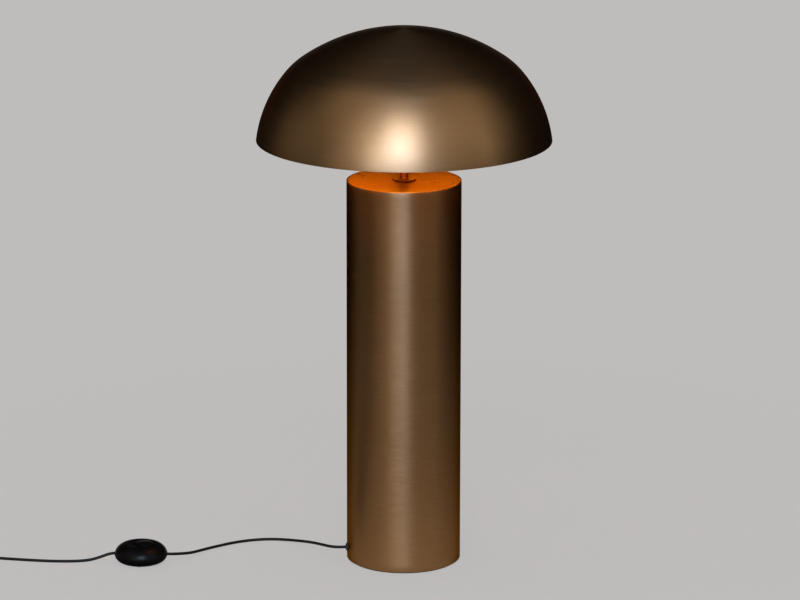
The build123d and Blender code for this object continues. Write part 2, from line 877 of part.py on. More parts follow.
with BuildPart() as shade_spider:
    with BuildSketch(Plane.XY.offset(hub_bottom)):
        Circle(hub_inner + hub_width)
    extrude(amount=spider_thickness)
    for azimuth in arm_azimuths:
        arm_plane = Plane(
            origin=(0, 0, hub_bottom),
            x_dir=(cos(radians(azimuth)), sin(radians(azimuth)), 0),
            z_dir=(0, 0, 1),
        )
        with BuildSketch(arm_plane):
            with Locations((arm_end / 2, 0)):
                Rectangle(arm_end, arm_width)
        extrude(amount=spider_thickness)
        with BuildSketch(radial_plane(azimuth - foot_arc / 2)):
            with BuildLine():
                arc_span(skirt_centre, foot_outside, foot_low, foot_high)
                Line(
                    on_arc(skirt_centre, foot_outside, foot_high),
                    on_arc(skirt_centre, foot_inside, foot_high),
                )
                arc_span(skirt_centre, foot_inside, foot_high, foot_low)
                Line(
                    on_arc(skirt_centre, foot_inside, foot_low),
                    on_arc(skirt_centre, foot_outside, foot_low),
                )
            make_face()
        revolve(axis=Axis.Z, revolution_arc=foot_arc)
    with BuildSketch(Plane.XY.offset(hub_bottom)):
        Circle(hub_inner)
    extrude(amount=spider_thickness, mode=Mode.SUBTRACT)
shade_spider.part.label = "shade_spider"

# ================================================================ lead to the foot switch
switch_along = (cos(radians(switch_turn)), sin(radians(switch_turn)), 0)
switch_towards = (switch_along[1], -switch_along[0], 0)


def switch_point(along, height):
    """Point in the upright plane of the foot switch's lead entries."""
    return Vector(switch_x + along * switch_along[0], switch_y + along * switch_along[1], height)


lamp_cord_start = exit_point(grommet_face, exit_height)
lamp_cord_end = switch_point(cord_end_distance, switch_split)
lamp_cord_stages = [
    (0.082, 2.8, 0.99),
    (0.125, 14.5, 0.93),
    (0.165, 31.0, 0.76),
    (0.209, 51.0, 0.49),
    (0.259, 69.5, 0.22),
    (0.321, 84.0, 0.04),
    (0.404, 90.0, 0.0),
    (0.500, 87.5, 0.0),
    (0.600, 77.5, 0.0),
    (0.690, 62.0, 0.0),
    (0.765, 45.0, 0.08),
    (0.812, 26.5, 0.34),
    (0.850, 12.5, 0.62),
    (0.900, 3.0, 0.86),
]
lamp_cord_points = [
    lamp_cord_start,
    exit_point(grommet_face + 5 * lead_radius, exit_height),
    *route(lamp_cord_start, lamp_cord_end, lamp_cord_stages),
    switch_point(cord_end_distance + 7 * lead_radius, switch_split),
    lamp_cord_end,
]
lamp_cord_radii = route_radii(lamp_cord_points)
with BuildPart() as lamp_cord:
    with BuildLine() as lamp_cord_path:
        FilletPolyline(*lamp_cord_points, radius=lamp_cord_radii)
    with BuildSketch(
        Plane(origin=lamp_cord_points[0], x_dir=exit_side, z_dir=lamp_cord_path.line % 0)
    ):
        Circle(lead_radius)
    sweep(path=lamp_cord_path.line)
lamp_cord.part.label = "lamp_cord"
report_tube("lamp_cord", lamp_cord.part, lamp_cord_path, lamp_cord_radii)

# ================================================================ foot switch
switch_plane = Plane(origin=(switch_x, switch_y, 0), x_dir=switch_along, z_dir=(0, 0, 1))
switch_axis = Axis((switch_x, switch_y, 0), (0, 0, 1))
switch_section = Plane(origin=(switch_x, switch_y, 0), x_dir=switch_along, z_dir=switch_towards)
button_centre = switch_point(button_offset, 0)
button_plane = Plane(origin=button_centre, x_dir=switch_along, z_dir=(0, 0, 1))
button_axis = Axis(button_centre, (0, 0, 1))
button_section = Plane(origin=button_centre, x_dir=switch_along, z_dir=switch_towards)

recess_floor = switch_land_height - recess_depth
cover_underside = recess_floor - switch_wall
dome_bulge = (0.885 * switch_radius, 0.62 * switch_land_height + 0.38 * switch_split)
base_bulge = (0.93 * switch_radius, 0.45 * switch_split)
inner_equator = switch_radius - switch_wall
entry_radius = lead_radius + lead_fit
switch_screw_places = PolarLocations(switch_screw_circle, 3, start_angle=90)
switch_post_radius = switch_screw_head_radius + clearance_fit + switch_post_wall
base_floor_top = switch_floor + switch_wall
button_well_radius = button_radius + button_fit
recess_radius = button_well_radius + 3.2

with BuildPart() as switch_base:
    with BuildSketch(switch_section):
        with BuildLine():
            Polyline((0, switch_floor), (switch_base_radius, switch_floor))
            ThreePointArc(
                (switch_base_radius, switch_floor), base_bulge, (switch_radius, switch_split)
            )
            Polyline(
                (switch_radius, switch_split),
                (inner_equator, switch_split),
            )
            ThreePointArc(
                (inner_equator, switch_split),
                (base_bulge[0] - switch_wall, base_bulge[1] + 0.5),
                (switch_base_radius - 1.0, base_floor_top),
            )
            Polyline((switch_base_radius - 1.0, base_floor_top), (0, base_floor_top), (0, switch_floor))
        make_face()
    revolve(axis=switch_axis)
    with BuildSketch(switch_plane.offset(base_floor_top - 0.5)):
        with switch_screw_places:
            Circle(switch_post_radius)
    extrude(amount=switch_split - base_floor_top)
    with BuildSketch(switch_plane.offset(switch_floor)):
        with switch_screw_places:
            Circle(switch_screw_radius + clearance_fit)
    extrude(amount=switch_split, mode=Mode.SUBTRACT)
    with BuildSketch(switch_plane.offset(switch_floor)):
        with switch_screw_places:
            Circle(switch_screw_head_radius + clearance_fit)
    extrude(amount=switch_wall, mode=Mode.SUBTRACT)
    with BuildSketch(switch_plane.offset(switch_floor)):
        with PolarLocations(switch_foot_circle, 3, start_angle=30):
            Circle(switch_foot_radius)
    extrude(amount=switch_foot_recess, mode=Mode.SUBTRACT)
    with BuildSketch(Plane(origin=switch_point(0, switch_split), z_dir=switch_along)):
        Circle(entry_radius)
    extrude(amount=switch_radius + 1.0, both=True, mode=Mode.SUBTRACT)
switch_base.part.label = "switch_base"

with BuildPart() as switch_cover:
    with BuildSketch(switch_section):
        with BuildLine():
            ThreePointArc(
                (switch_radius, switch_split), dome_bulge, (switch_land_radius, switch_land_height)
            )
            Polyline(
                (switch_land_radius, switch_land_height),
                (0, switch_land_height),
                (0, cover_underside),
                (switch_land_radius, cover_underside),
            )
            ThreePointArc(
                (switch_land_radius, cover_underside),
                (dome_bulge[0] - switch_wall, dome_bulge[1] - switch_wall),
                (inner_equator, switch_split),
            )
            Line((inner_equator, switch_split), (switch_radius, switch_split))
        make_face()
    revolve(axis=switch_axis)
    with BuildSketch(button_section):
        with BuildLine():
            Polyline(
                (0, recess_floor),
                (recess_radius - recess_slope, recess_floor),
                (recess_radius + 1.0, switch_land_height + 1.5),
                (0, switch_land_height + 1.5),
                close=True,
            )
        make_face()
    revolve(axis=button_axis, mode=Mode.SUBTRACT)
    with BuildSketch(button_plane.offset(cover_underside)):
        Circle(button_well_radius)
    extrude(amount=switch_wall + 3.0, mode=Mode.SUBTRACT)
    with BuildSketch(switch_plane.offset(switch_split)):
        with switch_screw_places:
            Circle(switch_post_radius)
    extrude(amount=cover_underside - 0.5 - switch_split)
    with BuildSketch(switch_plane.offset(switch_split)):
        with switch_screw_places:
            Circle(switch_screw_radius + thread_fit)
    extrude(amount=switch_screw_bite + 1.0, mode=Mode.SUBTRACT)
    with BuildSketch(Plane(origin=switch_point(0, switch_split), z_dir=switch_along)):
        Circle(entry_radius)
    extrude(amount=switch_radius + 1.0, both=True, mode=Mode.SUBTRACT)
switch_cover.part.label = "switch_cover"

button_top = recess_floor + button_rise
flange_top = cover_underside - 0.1
flange_bottom = flange_top - button_flange_thickness
block_bottom = base_floor_top
block_top = block_bottom + block_height
bridge_top = block_bottom + 1.0 + bridge_end_gap + button_travel + bridge_thickness
spring_seat = cover_underside - 0.5
spring_well_radius = spring_radius + 1.6
cavity_height = bridge_top - block_bottom + 0.3

with BuildPart() as switch_button:
    with BuildSketch(button_section):
        with BuildLine():
            Polyline(
                (0, bridge_top),
                (plunger_radius, bridge_top),
                (plunger_radius, spring_seat),
                (spring_well_radius, spring_seat),
                (spring_well_radius, flange_bottom),
                (button_radius + button_flange, flange_bottom),
                (button_radius + button_flange, flange_top),
                (button_radius, flange_top),
                (button_radius, button_top),
            )
            ThreePointArc(
                (button_radius, button_top),
                (0.55 * button_radius, button_top + 0.7 * button_crown),
                (0, button_top + button_crown),
            )
            Line((0, button_top + button_crown), (0, bridge_top))
        make_face()
    revolve(axis=button_axis)
    rings = switch_button.edges().filter_by(lambda edge: edge.is_closed)
    fillet(rings.group_by(Axis.Z)[-1], 0.6)
switch_button.part.label = "switch_button"

with BuildPart() as contact_bridge:
    with BuildSketch(button_plane.offset(bridge_top - bridge_thickness)):
        Rectangle(bridge_length, bridge_width)
    extrude(amount=bridge_thickness)
contact_bridge.part.label = "contact_bridge"

with BuildPart() as switch_block:
    with BuildSketch(button_plane.offset(block_bottom)):
        Rectangle(block_length, block_width)
    extrude(amount=block_height)
    with BuildSketch(button_plane.offset(block_bottom + 1.0)):
        Rectangle(bridge_length + 1.0, bridge_width + 1.0)
    extrude(amount=cavity_height - 1.0, mode=Mode.SUBTRACT)
    with BuildSketch(button_plane.offset(block_bottom + 1.0)):
        Circle(plunger_radius + plunger_fit)
    extrude(amount=block_height, mode=Mode.SUBTRACT)
switch_block.part.label = "switch_block"

spring_pitch = (spring_seat - block_top - spring_wire) / spring_turns
with BuildPart() as switch_spring:
    with BuildLine(button_plane.offset(block_top + spring_wire / 2)) as spring_path:
        Helix(spring_pitch, spring_pitch * spring_turns, spring_radius)
    with BuildSketch(Plane(origin=spring_path.line @ 0, z_dir=spring_path.line % 0)):
        Circle(spring_wire / 2)
    sweep(path=spring_path.line, is_frenet=True)
switch_spring.part.label = "switch_spring"

grip_bottom = base_floor_top
grip_height = switch_split + lead_radius - grip_bottom
grip_places = [
    (cord_end_distance - grip_length / 2, 0),
    (-cord_end_distance + grip_length / 2, 0),
]
with BuildPart() as switch_grips:
    with BuildSketch(switch_plane.offset(grip_bottom)):
        with Locations(*grip_places):
            Rectangle(grip_length, grip_width)
    extrude(amount=grip_height)
switch_grips.part.label = "switch_grips"

grip_inner_face = cord_end_distance - grip_length
block_right = button_offset + block_length / 2
block_left = button_offset - block_length / 2
core_spacing = 2 * core_wire_radius + 1.4
wire_height = switch_split - 1.0
right_cores = Plane(switch_point(block_right, wire_height), x_dir=(0, 0, 1), z_dir=switch_along)
left_cores = Plane(switch_point(block_left, wire_height), x_dir=(0, 0, 1), z_dir=switch_along)
with BuildPart() as switch_cores:
    with BuildSketch(right_cores):
        with Locations((0, -core_spacing / 2), (0, core_spacing / 2)):
            Circle(core_wire_radius)
    extrude(amount=grip_inner_face - block_right)
    with BuildSketch(left_cores):
        with Locations((0, -core_spacing / 2), (0, core_spacing / 2)):
            Circle(core_wire_radius)
    extrude(amount=-grip_inner_face - block_left)
switch_cores.part.label = "switch_cores"

with BuildPart() as switch_feet:
    with BuildSketch(switch_plane):
        with PolarLocations(switch_foot_circle, 3, start_angle=30):
            Circle(switch_foot_radius)
    extrude(amount=switch_floor + switch_foot_recess)
    chamfer(switch_feet.edges().group_by(Axis.Z)[0], 0.3)
switch_feet.part.label = "switch_feet"

with BuildPart() as switch_screws:
    with BuildSketch(switch_plane.offset(base_floor_top)):
        with switch_screw_places:
            Circle(switch_screw_radius)
    extrude(amount=switch_split + switch_screw_bite - base_floor_top)
    with BuildSketch(switch_plane.offset(switch_floor + 0.3)):
        with switch_screw_places:
            Circle(switch_screw_head_radius)
    extrude(amount=switch_wall - 0.3)
switch_screws.part.label = "switch_screws"

# ================================================================ lead to the coil
coil_pitch = 2 * lead_radius + turn_gap
coil_half = coil_turns * pi
coil_inner_radius = coil_mean_radius - coil_pitch * coil_turns / 4
coil_outer_radius = coil_mean_radius + coil_pitch * coil_turns / 4
coil_low = lead_radius + tie_thickness + tie_gap
plug_axis = plug_thickness / 2
coil_high = plug_axis
end_run = 2 * lead_radius
plug_run = 6 * lead_radius
coil_x = switch_x - coil_distance
coil_y = switch_y + coil_sideways
coil_start = Vector(coil_x, coil_y + coil_outer_radius, coil_low)
coil_start_azimuth = 90.0
coil_centre = Vector(coil_x, coil_y, 0)

switch_cord_start = switch_point(-cord_end_distance, switch_split)
switch_cord_end = coil_start + Vector(end_run, 0, 0)
switch_cord_stages = [
    (0.142, -2.4, 0.42),
    (0.213, -6.4, 0.07),
    (0.308, -10.0, 0.0),
    (0.443, -11.0, 0.0),
    (0.597, -7.5, 0.0),
    (0.740, -2.5, 0.02),
]
switch_cord_points = [
    switch_cord_start,
    switch_point(-cord_end_distance - 7 * lead_radius, switch_split),
    *route(switch_cord_start, switch_cord_end, switch_cord_stages),
    switch_cord_end + Vector(12 * lead_radius, 0, 0),
    switch_cord_end,
]
switch_cord_radii = route_radii(switch_cord_points)
with BuildPart() as switch_cord:
    with BuildLine() as switch_cord_path:
        FilletPolyline(*switch_cord_points, radius=switch_cord_radii)
    with BuildSketch(Plane(origin=switch_cord_points[0], z_dir=switch_cord_path.line % 0)):
        Circle(lead_radius)
    sweep(path=switch_cord_path.line)
switch_cord.part.label = "switch_cord"
report_tube("switch_cord", switch_cord.part, switch_cord_path, switch_cord_radii)


def coil_knot(step):
    """Place and heading of the coil after a number of equal steps.

    The radius falls at a steady rate to the middle of the coil and rises again, and the
    turns climb one layer between the steps beside the middle.
    """
    turned = step * coil_half / coil_steps
    azimuth = radians(coil_start_azimuth) + turned
    inward = coil_pitch / (2 * pi)
    from_middle = abs(step - coil_steps) * coil_half / coil_steps
    radius = coil_inner_radius + inward * from_middle
    rise = min(max((step - coil_steps + 1) / 2, 0), 1)
    height = coil_low + rise * (coil_high - coil_low)
    side = 0 if step == coil_steps else (-1 if step < coil_steps else 1)
    climb = (coil_high - coil_low) * coil_steps / (2 * coil_half) if side == 0 else 0
    outwards = Vector(cos(azimuth), sin(azimuth), 0)
    along = Vector(-sin(azimuth), cos(azimuth), 0)
    heading = outwards * (side * inward) + along * radius + Vector(0, 0, climb)
    if step in (0, 2 * coil_steps):
        heading = along
    return coil_centre + outwards * radius + Vector(0, 0, height), heading.normalized()


def biarc_reach(start, start_heading, end, end_heading):
    """Equal tangent length of the two arcs that join two headings smoothly."""
    span = end - start
    both = start_heading + end_heading
    square = 2 - 2 * start_heading.dot(end_heading)
    linear = 2 * span.dot(both)
    return (-linear + sqrt(linear**2 + 4 * square * span.dot(span))) / (2 * square)


knots = [coil_knot(step) for step in range(2 * coil_steps + 1)]
coil_end = knots[-1][0] + knots[-1][1] * plug_run
with BuildPart() as cord_coil:
    with BuildLine() as coil_path:
        Line(knots[0][0] - knots[0][1] * end_run, knots[0][0])
        for (start, start_heading), (end, end_heading) in zip(knots, knots[1:]):
            reach = biarc_reach(start, start_heading, end, end_heading)
            first_corner = start + start_heading * reach
            second_corner = end - end_heading * reach
            middle = (first_corner + second_corner) * 0.5
            TangentArc(start, middle, tangent=start_heading)
            TangentArc(middle, end, tangent=(second_corner - first_corner).normalized())
        Line(knots[-1][0], coil_end)
    with BuildSketch(Plane(origin=coil_path.line @ 0, z_dir=coil_path.line % 0)):
        Circle(lead_radius)
    sweep(path=coil_path.line)
cord_coil.part.label = "cord_coil"

coil_samples = []
travelled = 0.0
for piece in coil_path.edges():
    count = max(2, round(piece.length / 1.5))
    for i in range(count):
        coil_samples.append((piece @ (i / count), travelled + piece.length * i / count))
    travelled += piece.length
least_gap = min(
    (a - b).length - 2 * lead_radius
    for i, (a, at_a) in enumerate(coil_samples)
    for b, at_b in coil_samples[i + 1:]
    if at_b - at_a > 4 * coil_inner_radius and abs(a.Z - b.Z) < 3 * lead_radius
)
report_tube("cord_coil", cord_coil.part, coil_path, [coil_inner_radius, coil_outer_radius])
print(f"coil least gap {least_gap:.3f}")

# Strap of a twist tie round all the turns on one side of the coil
tie_a = radians(tie_azimuth)
tie_plane = Plane(
    origin=coil_centre,
    x_dir=(cos(tie_a), sin(tie_a), 0),
    z_dir=(sin(tie_a), -cos(tie_a), 0),
)
tie_in = coil_inner_radius - lead_radius - 2 * tie_gap
tie_out = coil_outer_radius + lead_radius + 2 * tie_gap
tie_top = coil_high + lead_radius + tie_gap
tie_tail_height = 9.0
with BuildPart() as coil_tie:
    with BuildSketch(tie_plane):
        with Locations(((tie_in + tie_out) / 2, (tie_thickness + tie_top) / 2)):
            Rectangle(tie_out - tie_in + 2 * tie_thickness, tie_top + tie_thickness)
            Rectangle(tie_out - tie_in, tie_top - tie_thickness, mode=Mode.SUBTRACT)
    extrude(amount=tie_width / 2, both=True)
    with BuildSketch(tie_plane.offset(-tie_width / 4)):
        with Locations(((tie_in + tie_out) / 2, tie_top + tie_thickness)):
            Rectangle(3 * tie_thickness, tie_tail_height, align=(Align.CENTER, Align.MIN))
    extrude(amount=tie_width / 2)
coil_tie.part.label = "coil_tie"

# ================================================================ plug
plug_back = coil_end.Y
relief_plane = Plane(origin=(coil_end.X, plug_back, plug_axis), x_dir=(0, -1, 0), z_dir=(0, 0, 1))
relief_axis = Axis((coil_end.X, plug_back, plug_axis), (0, -1, 0))
body_back = plug_back - relief_length
plug_length = plug_nose_length + plug_taper_length + plug_face_length
face_y = body_back - plug_length
relief_slope = (relief_large_radius - relief_small_radius) / relief_length
groove_step = relief_length / (relief_grooves + 1)

with BuildPart() as plug_relief:
    with BuildSketch(relief_plane):
        with BuildLine():
            Polyline(
                (0, 0),
                (0, relief_small_radius),
                (relief_length, relief_large_radius),
                (relief_length, 0),
                close=True,
            )
        make_face()
        for i in range(relief_grooves):
            place = (i + 1) * groove_step
            with Locations((place, relief_small_radius + relief_slope * place)):
                Rectangle(relief_groove_width, 2 * relief_groove_depth, mode=Mode.SUBTRACT)
    revolve(axis=relief_axis)
plug_relief.part.label = "plug_relief"

with BuildPart() as plug_body:
    with BuildSketch(Plane(origin=(coil_end.X, body_back, 0), x_dir=(1, 0, 0), z_dir=(0, 0, 1))):
        with BuildLine():
            Polyline(
                (-plug_nose_width / 2, 0),
                (-plug_shoulder_width / 2, -plug_nose_length),
                (-plug_face_width / 2, -plug_nose_length - plug_taper_length),
                (-plug_face_width / 2, -plug_length),
                (plug_face_width / 2, -plug_length),
                (plug_face_width / 2, -plug_nose_length - plug_taper_length),
                (plug_shoulder_width / 2, -plug_nose_length),
                (plug_nose_width / 2, 0),
                close=True,
            )
        make_face()
    extrude(amount=plug_thickness)
    fillet(plug_body.edges().filter_by(Axis.Z), 2 * plug_rounding)
    flat_faces = plug_body.faces().filter_by(Axis.Z)
    fillet(flat_faces.edges(), plug_rounding)
    with BuildSketch(Plane(origin=(coil_end.X, face_y, plug_axis), x_dir=(1, 0, 0), z_dir=(0, -1, 0))):
        with Locations((-pin_spacing / 2, 0), (pin_spacing / 2, 0)):
            Circle(pin_core_radius + thread_fit)
    extrude(amount=-pin_root, mode=Mode.SUBTRACT)
plug_body.part.label = "plug_body"

pin_face = Plane(origin=(coil_end.X, face_y, plug_axis), x_dir=(1, 0, 0), z_dir=(0, -1, 0))
pin_places = [(-pin_spacing / 2, 0), (pin_spacing / 2, 0)]
with BuildPart() as plug_sleeves:
    with BuildSketch(pin_face):
        with Locations(*pin_places):
            Circle(pin_sleeve_radius)
            Circle(pin_core_radius + thread_fit, mode=Mode.SUBTRACT)
    extrude(amount=pin_sleeve_length)
plug_sleeves.part.label = "plug_sleeves"

with BuildPart() as plug_pins:
    with BuildSketch(pin_face.offset(pin_sleeve_length)):
        with Locations(*pin_places):
            Circle(pin_radius)
    extrude(amount=pin_length - pin_sleeve_length)
    fillet(plug_pins.edges().group_by(Axis.Y)[0], 0.8 * pin_radius)
    with BuildSketch(pin_face.offset(0.5 - pin_root)):
        with Locations(*pin_places):
            Circle(pin_core_radius)
    extrude(amount=pin_sleeve_length + pin_root - 0.5)
plug_pins.part.label = "plug_pins"

# ================================================================ write the pieces
pieces = [
    column_tube, plate_seat_ring, top_plate,
    base_pad, base_plate, base_weight, tube_brackets, base_screws,
    lead_grommet, lead_clamp, clamp_screws, column_lead,
    stem_nipple, stem_nut, stem_washer, stem_spacer, stem_disc, stem_sleeve,
    holder_cap, holder_grub_screw, holder_body, holder_core, holder_terminals,
    thread_shell, centre_contact, lead_cores, shade_ring,
    bulb_glass, bulb_cap, bulb_insulator, bulb_tip, bulb_mount, bulb_filaments,
    shade_shell, shade_spider,
    lamp_cord,
    switch_base, switch_cover, switch_button, contact_bridge, switch_block,
    switch_spring, switch_grips, switch_cores, switch_feet, switch_screws,
    switch_cord, cord_coil, coil_tie,
    plug_relief, plug_body, plug_sleeves, plug_pins,
]
os.makedirs("parts", exist_ok=True)
for piece in pieces:
    export_step(piece.part, f"parts/{piece.part.label}.step")
print(f"shade: rim radius {on_arc(skirt_centre, skirt_radius, rim_turn)[0]:.1f}, "
      f"top {shade_top:.1f}, rim {shade_rim:.1f}")
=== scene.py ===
import json
import logging
import math
from dataclasses import dataclass, field, replace
from enum import Enum
from functools import cache
from typing import Any, Optional, Sequence, Union

import bpy
import numpy as np
from mathutils import Matrix, Vector


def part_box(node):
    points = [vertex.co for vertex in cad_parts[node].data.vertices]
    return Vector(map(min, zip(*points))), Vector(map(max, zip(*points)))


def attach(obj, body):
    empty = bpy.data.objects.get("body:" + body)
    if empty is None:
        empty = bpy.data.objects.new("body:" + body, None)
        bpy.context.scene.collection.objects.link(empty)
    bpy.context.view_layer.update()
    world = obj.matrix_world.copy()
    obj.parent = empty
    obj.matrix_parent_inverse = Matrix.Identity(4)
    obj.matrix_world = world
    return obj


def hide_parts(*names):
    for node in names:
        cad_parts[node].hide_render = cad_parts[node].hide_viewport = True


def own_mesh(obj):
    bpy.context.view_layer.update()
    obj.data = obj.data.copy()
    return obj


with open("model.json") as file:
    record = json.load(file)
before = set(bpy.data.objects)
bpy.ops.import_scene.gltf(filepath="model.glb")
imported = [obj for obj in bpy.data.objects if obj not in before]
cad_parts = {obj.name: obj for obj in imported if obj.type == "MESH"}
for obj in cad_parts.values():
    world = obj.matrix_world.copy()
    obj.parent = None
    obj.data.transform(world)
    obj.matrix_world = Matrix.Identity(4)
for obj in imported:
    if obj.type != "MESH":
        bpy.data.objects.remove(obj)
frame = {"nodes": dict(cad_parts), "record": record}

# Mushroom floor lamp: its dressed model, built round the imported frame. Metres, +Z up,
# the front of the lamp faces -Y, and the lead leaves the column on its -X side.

LOG = logging.getLogger("lamp")
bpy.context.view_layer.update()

Colour = tuple[float, float, float]
Point = tuple[float, float, float]
PAPER: Colour = (0.521, 0.509, 0.503)


# ---- shader expressions
class Wire:
    """One output socket of a material, on which arithmetic adds Math nodes."""

    def __init__(self, graph: "Graph", socket: bpy.types.NodeSocket) -> None:
        """Remember the graph and the node output that this wire carries."""
        self.graph = graph
        self.socket = socket

    def _math(self, operation: str, first: "Term", second: "Term") -> "Wire":
        """Return the result of a Math node with these two terms."""
        return self.graph.add("ShaderNodeMath", {"operation": operation}, {0: first, 1: second})

    def __add__(self, other: "Term") -> "Wire":
        """Return the sum."""
        return self._math("ADD", self, other)

    def __sub__(self, other: "Term") -> "Wire":
        """Return this minus the other."""
        return self._math("SUBTRACT", self, other)

    def __rsub__(self, other: "Term") -> "Wire":
        """Return the other minus this."""
        return self._math("SUBTRACT", other, self)

    def __mul__(self, other: "Term") -> "Wire":
        """Return the product."""
        return self._math("MULTIPLY", self, other)

    __radd__, __rmul__ = __add__, __mul__

    def __pow__(self, other: "Term") -> "Wire":
        """Return this raised to a power."""
        return self._math("POWER", self, other)

    def rise(self, low: float, high: float) -> "Wire":
        """Return a smooth step from 0 at low to 1 at high; high may be the lower one.

        Args:
            low: the value at which the step starts.
            high: the value at which it ends.

        Returns:
            The step, from 0 to 1.
        """
        if low <= high:
            settings = {"interpolation_type": "SMOOTHSTEP"}
            inputs = {0: self, 1: low, 2: high, 3: 0.0, 4: 1.0}
            return self.graph.add("ShaderNodeMapRange", settings, inputs)
        return 1.0 - self.rise(high, low)

    def clamped(self) -> "Wire":
        """Return this held between 0 and 1."""
        return self.graph.add("ShaderNodeClamp", {}, {0: self, 1: 0.0, 2: 1.0})


Term = Union[Wire, float, Sequence[float]]


@dataclass(frozen=True)
class Field:
    """A soft random field: its cells per metre, its finer layers and their strength."""

    scale: float
    detail: float = 2.0
    rough: float = 0.5


class Graph:
    """The node graph of one material or world."""

    def __init__(self, tree: bpy.types.NodeTree) -> None:
        """Take the tree to fill, and empty it."""
        self.tree = tree
        self.tree.nodes.clear()

    def add(
        self,
        kind: str,
        settings: Optional[dict[str, Any]] = None,
        inputs: Optional[dict[Union[int, str], Any]] = None,
        output: Union[int, str] = 0,
    ) -> Wire:
        """Add a node.

        Args:
            kind: the node's type.
            settings: its properties, which are set first.
            inputs: values or wires for its sockets, by name or by place.
            output: the output that is returned, by name or by place.

        Returns:
            The chosen output as a wire.
        """
        node = self.tree.nodes.new(kind)
        for name, value in (settings or {}).items():
            setattr(node, name, value)
        for name, value in (inputs or {}).items():
            socket = node.inputs[name]
            if isinstance(value, Wire):
                self.tree.links.new(value.socket, socket)
            elif socket.type == "RGBA" and len(value) == 3:
                socket.default_value = (*value, 1.0)
            else:
                socket.default_value = value
        return Wire(self, node.outputs[output])

    def place(self) -> Wire:
        """Return the point on the piece in the lamp's own coordinates."""
        return self.add("ShaderNodeTexCoord", {}, {}, "Object")

    def split(self, vector: Wire) -> tuple[Wire, Wire, Wire]:
        """Return the X, Y and Z of a vector."""
        first = self.add("ShaderNodeSeparateXYZ", {}, {0: vector})
        return tuple(Wire(self, socket) for socket in first.socket.node.outputs)

    def join(self, x: Term, y: Term, z: Term) -> Wire:
        """Return a vector made of three numbers."""
        return self.add("ShaderNodeCombineXYZ", {}, {0: x, 1: y, 2: z})

    def rays(self) -> dict[str, Wire]:
        """Return what kind of ray looks, as wires by the Light Path's output names."""
        path = self.add("ShaderNodeLightPath")
        return {s.name: Wire(self, s) for s in path.socket.node.outputs}

    def noise(self, at: Wire, cells: Field) -> Wire:
        """Return a random field from 0 to 1, read at a place."""
        inputs = {"Vector": at, "Scale": cells.scale, "Detail": cells.detail, "Roughness": cells.rough}
        return self.add("ShaderNodeTexNoise", {}, inputs)

    def mix(self, share: Term, low: Term, high: Term) -> Wire:
        """Return a colour that is low where share is 0 and high where it is 1."""
        inputs = {"Factor": share, 6: low, 7: high}
        return self.add("ShaderNodeMix", {"data_type": "RGBA"}, inputs, 2)

    def bump(self, height: Wire, strength: float, depth: float) -> Wire:
        """Return the surface's direction, tilted by a height of depth metres times a field."""
        inputs = {"Height": height, "Strength": strength, "Distance": depth}
        return self.add("ShaderNodeBump", {}, inputs)

    def blend(self, share: Term, low: Wire, high: Wire) -> Wire:
        """Return a shader that is low where share is 0 and high where it is 1."""
        return self.add("ShaderNodeMixShader", {}, {0: share, 1: low, 2: high})

    def show(self, shader: Wire, kind: str = "ShaderNodeOutputMaterial") -> None:
        """Join a shader to a new output node."""
        self.tree.links.new(shader.socket, self.tree.nodes.new(kind).inputs["Surface"])


def placed(name: str, data: bpy.types.ID) -> bpy.types.Object:
    """Return a new object in the scene.

    Args:
        name: the object's name.
        data: its mesh, curve, light or camera.

    Returns:
        The object.
    """
    made = bpy.data.objects.new(name, data)
    bpy.context.scene.collection.objects.link(made)
    return made


def shaded(tint: Colour, share: float) -> Colour:
    """Return a tint times a share, held at 1."""
    return tuple(min(c * share, 1.0) for c in tint)


# ---- finishes
class Grain(Enum):
    """How a metal face was worked, which sets the way its fine lines run."""

    SPUN = "round a dome"
    BRUSHED = "round a tube"
    TURNED = "round a disc"
    DRAWN = "none to speak of"


@dataclass(frozen=True)
class Finish:
    """A finish, which every piece that has it shares."""

    name: str

    def sockets(self, g: Graph) -> dict[str, Any]:
        """Return what feeds the Principled shader, as values or wires by socket name."""
        raise NotImplementedError

    def shader(self, g: Graph) -> Wire:
        """Return the shader that the surface shows."""
        return g.add("ShaderNodeBsdfPrincipled", {}, self.sockets(g))


@cache
def dress(finish: Finish) -> bpy.types.Material:
    """Return the one material of a finish, which the first call makes.

    Args:
        finish: the finish.

    Returns:
        The material.
    """
    material = bpy.data.materials.new(finish.name)
    material.use_nodes = True
    g = Graph(material.node_tree)
    g.show(finish.shader(g))
    return material


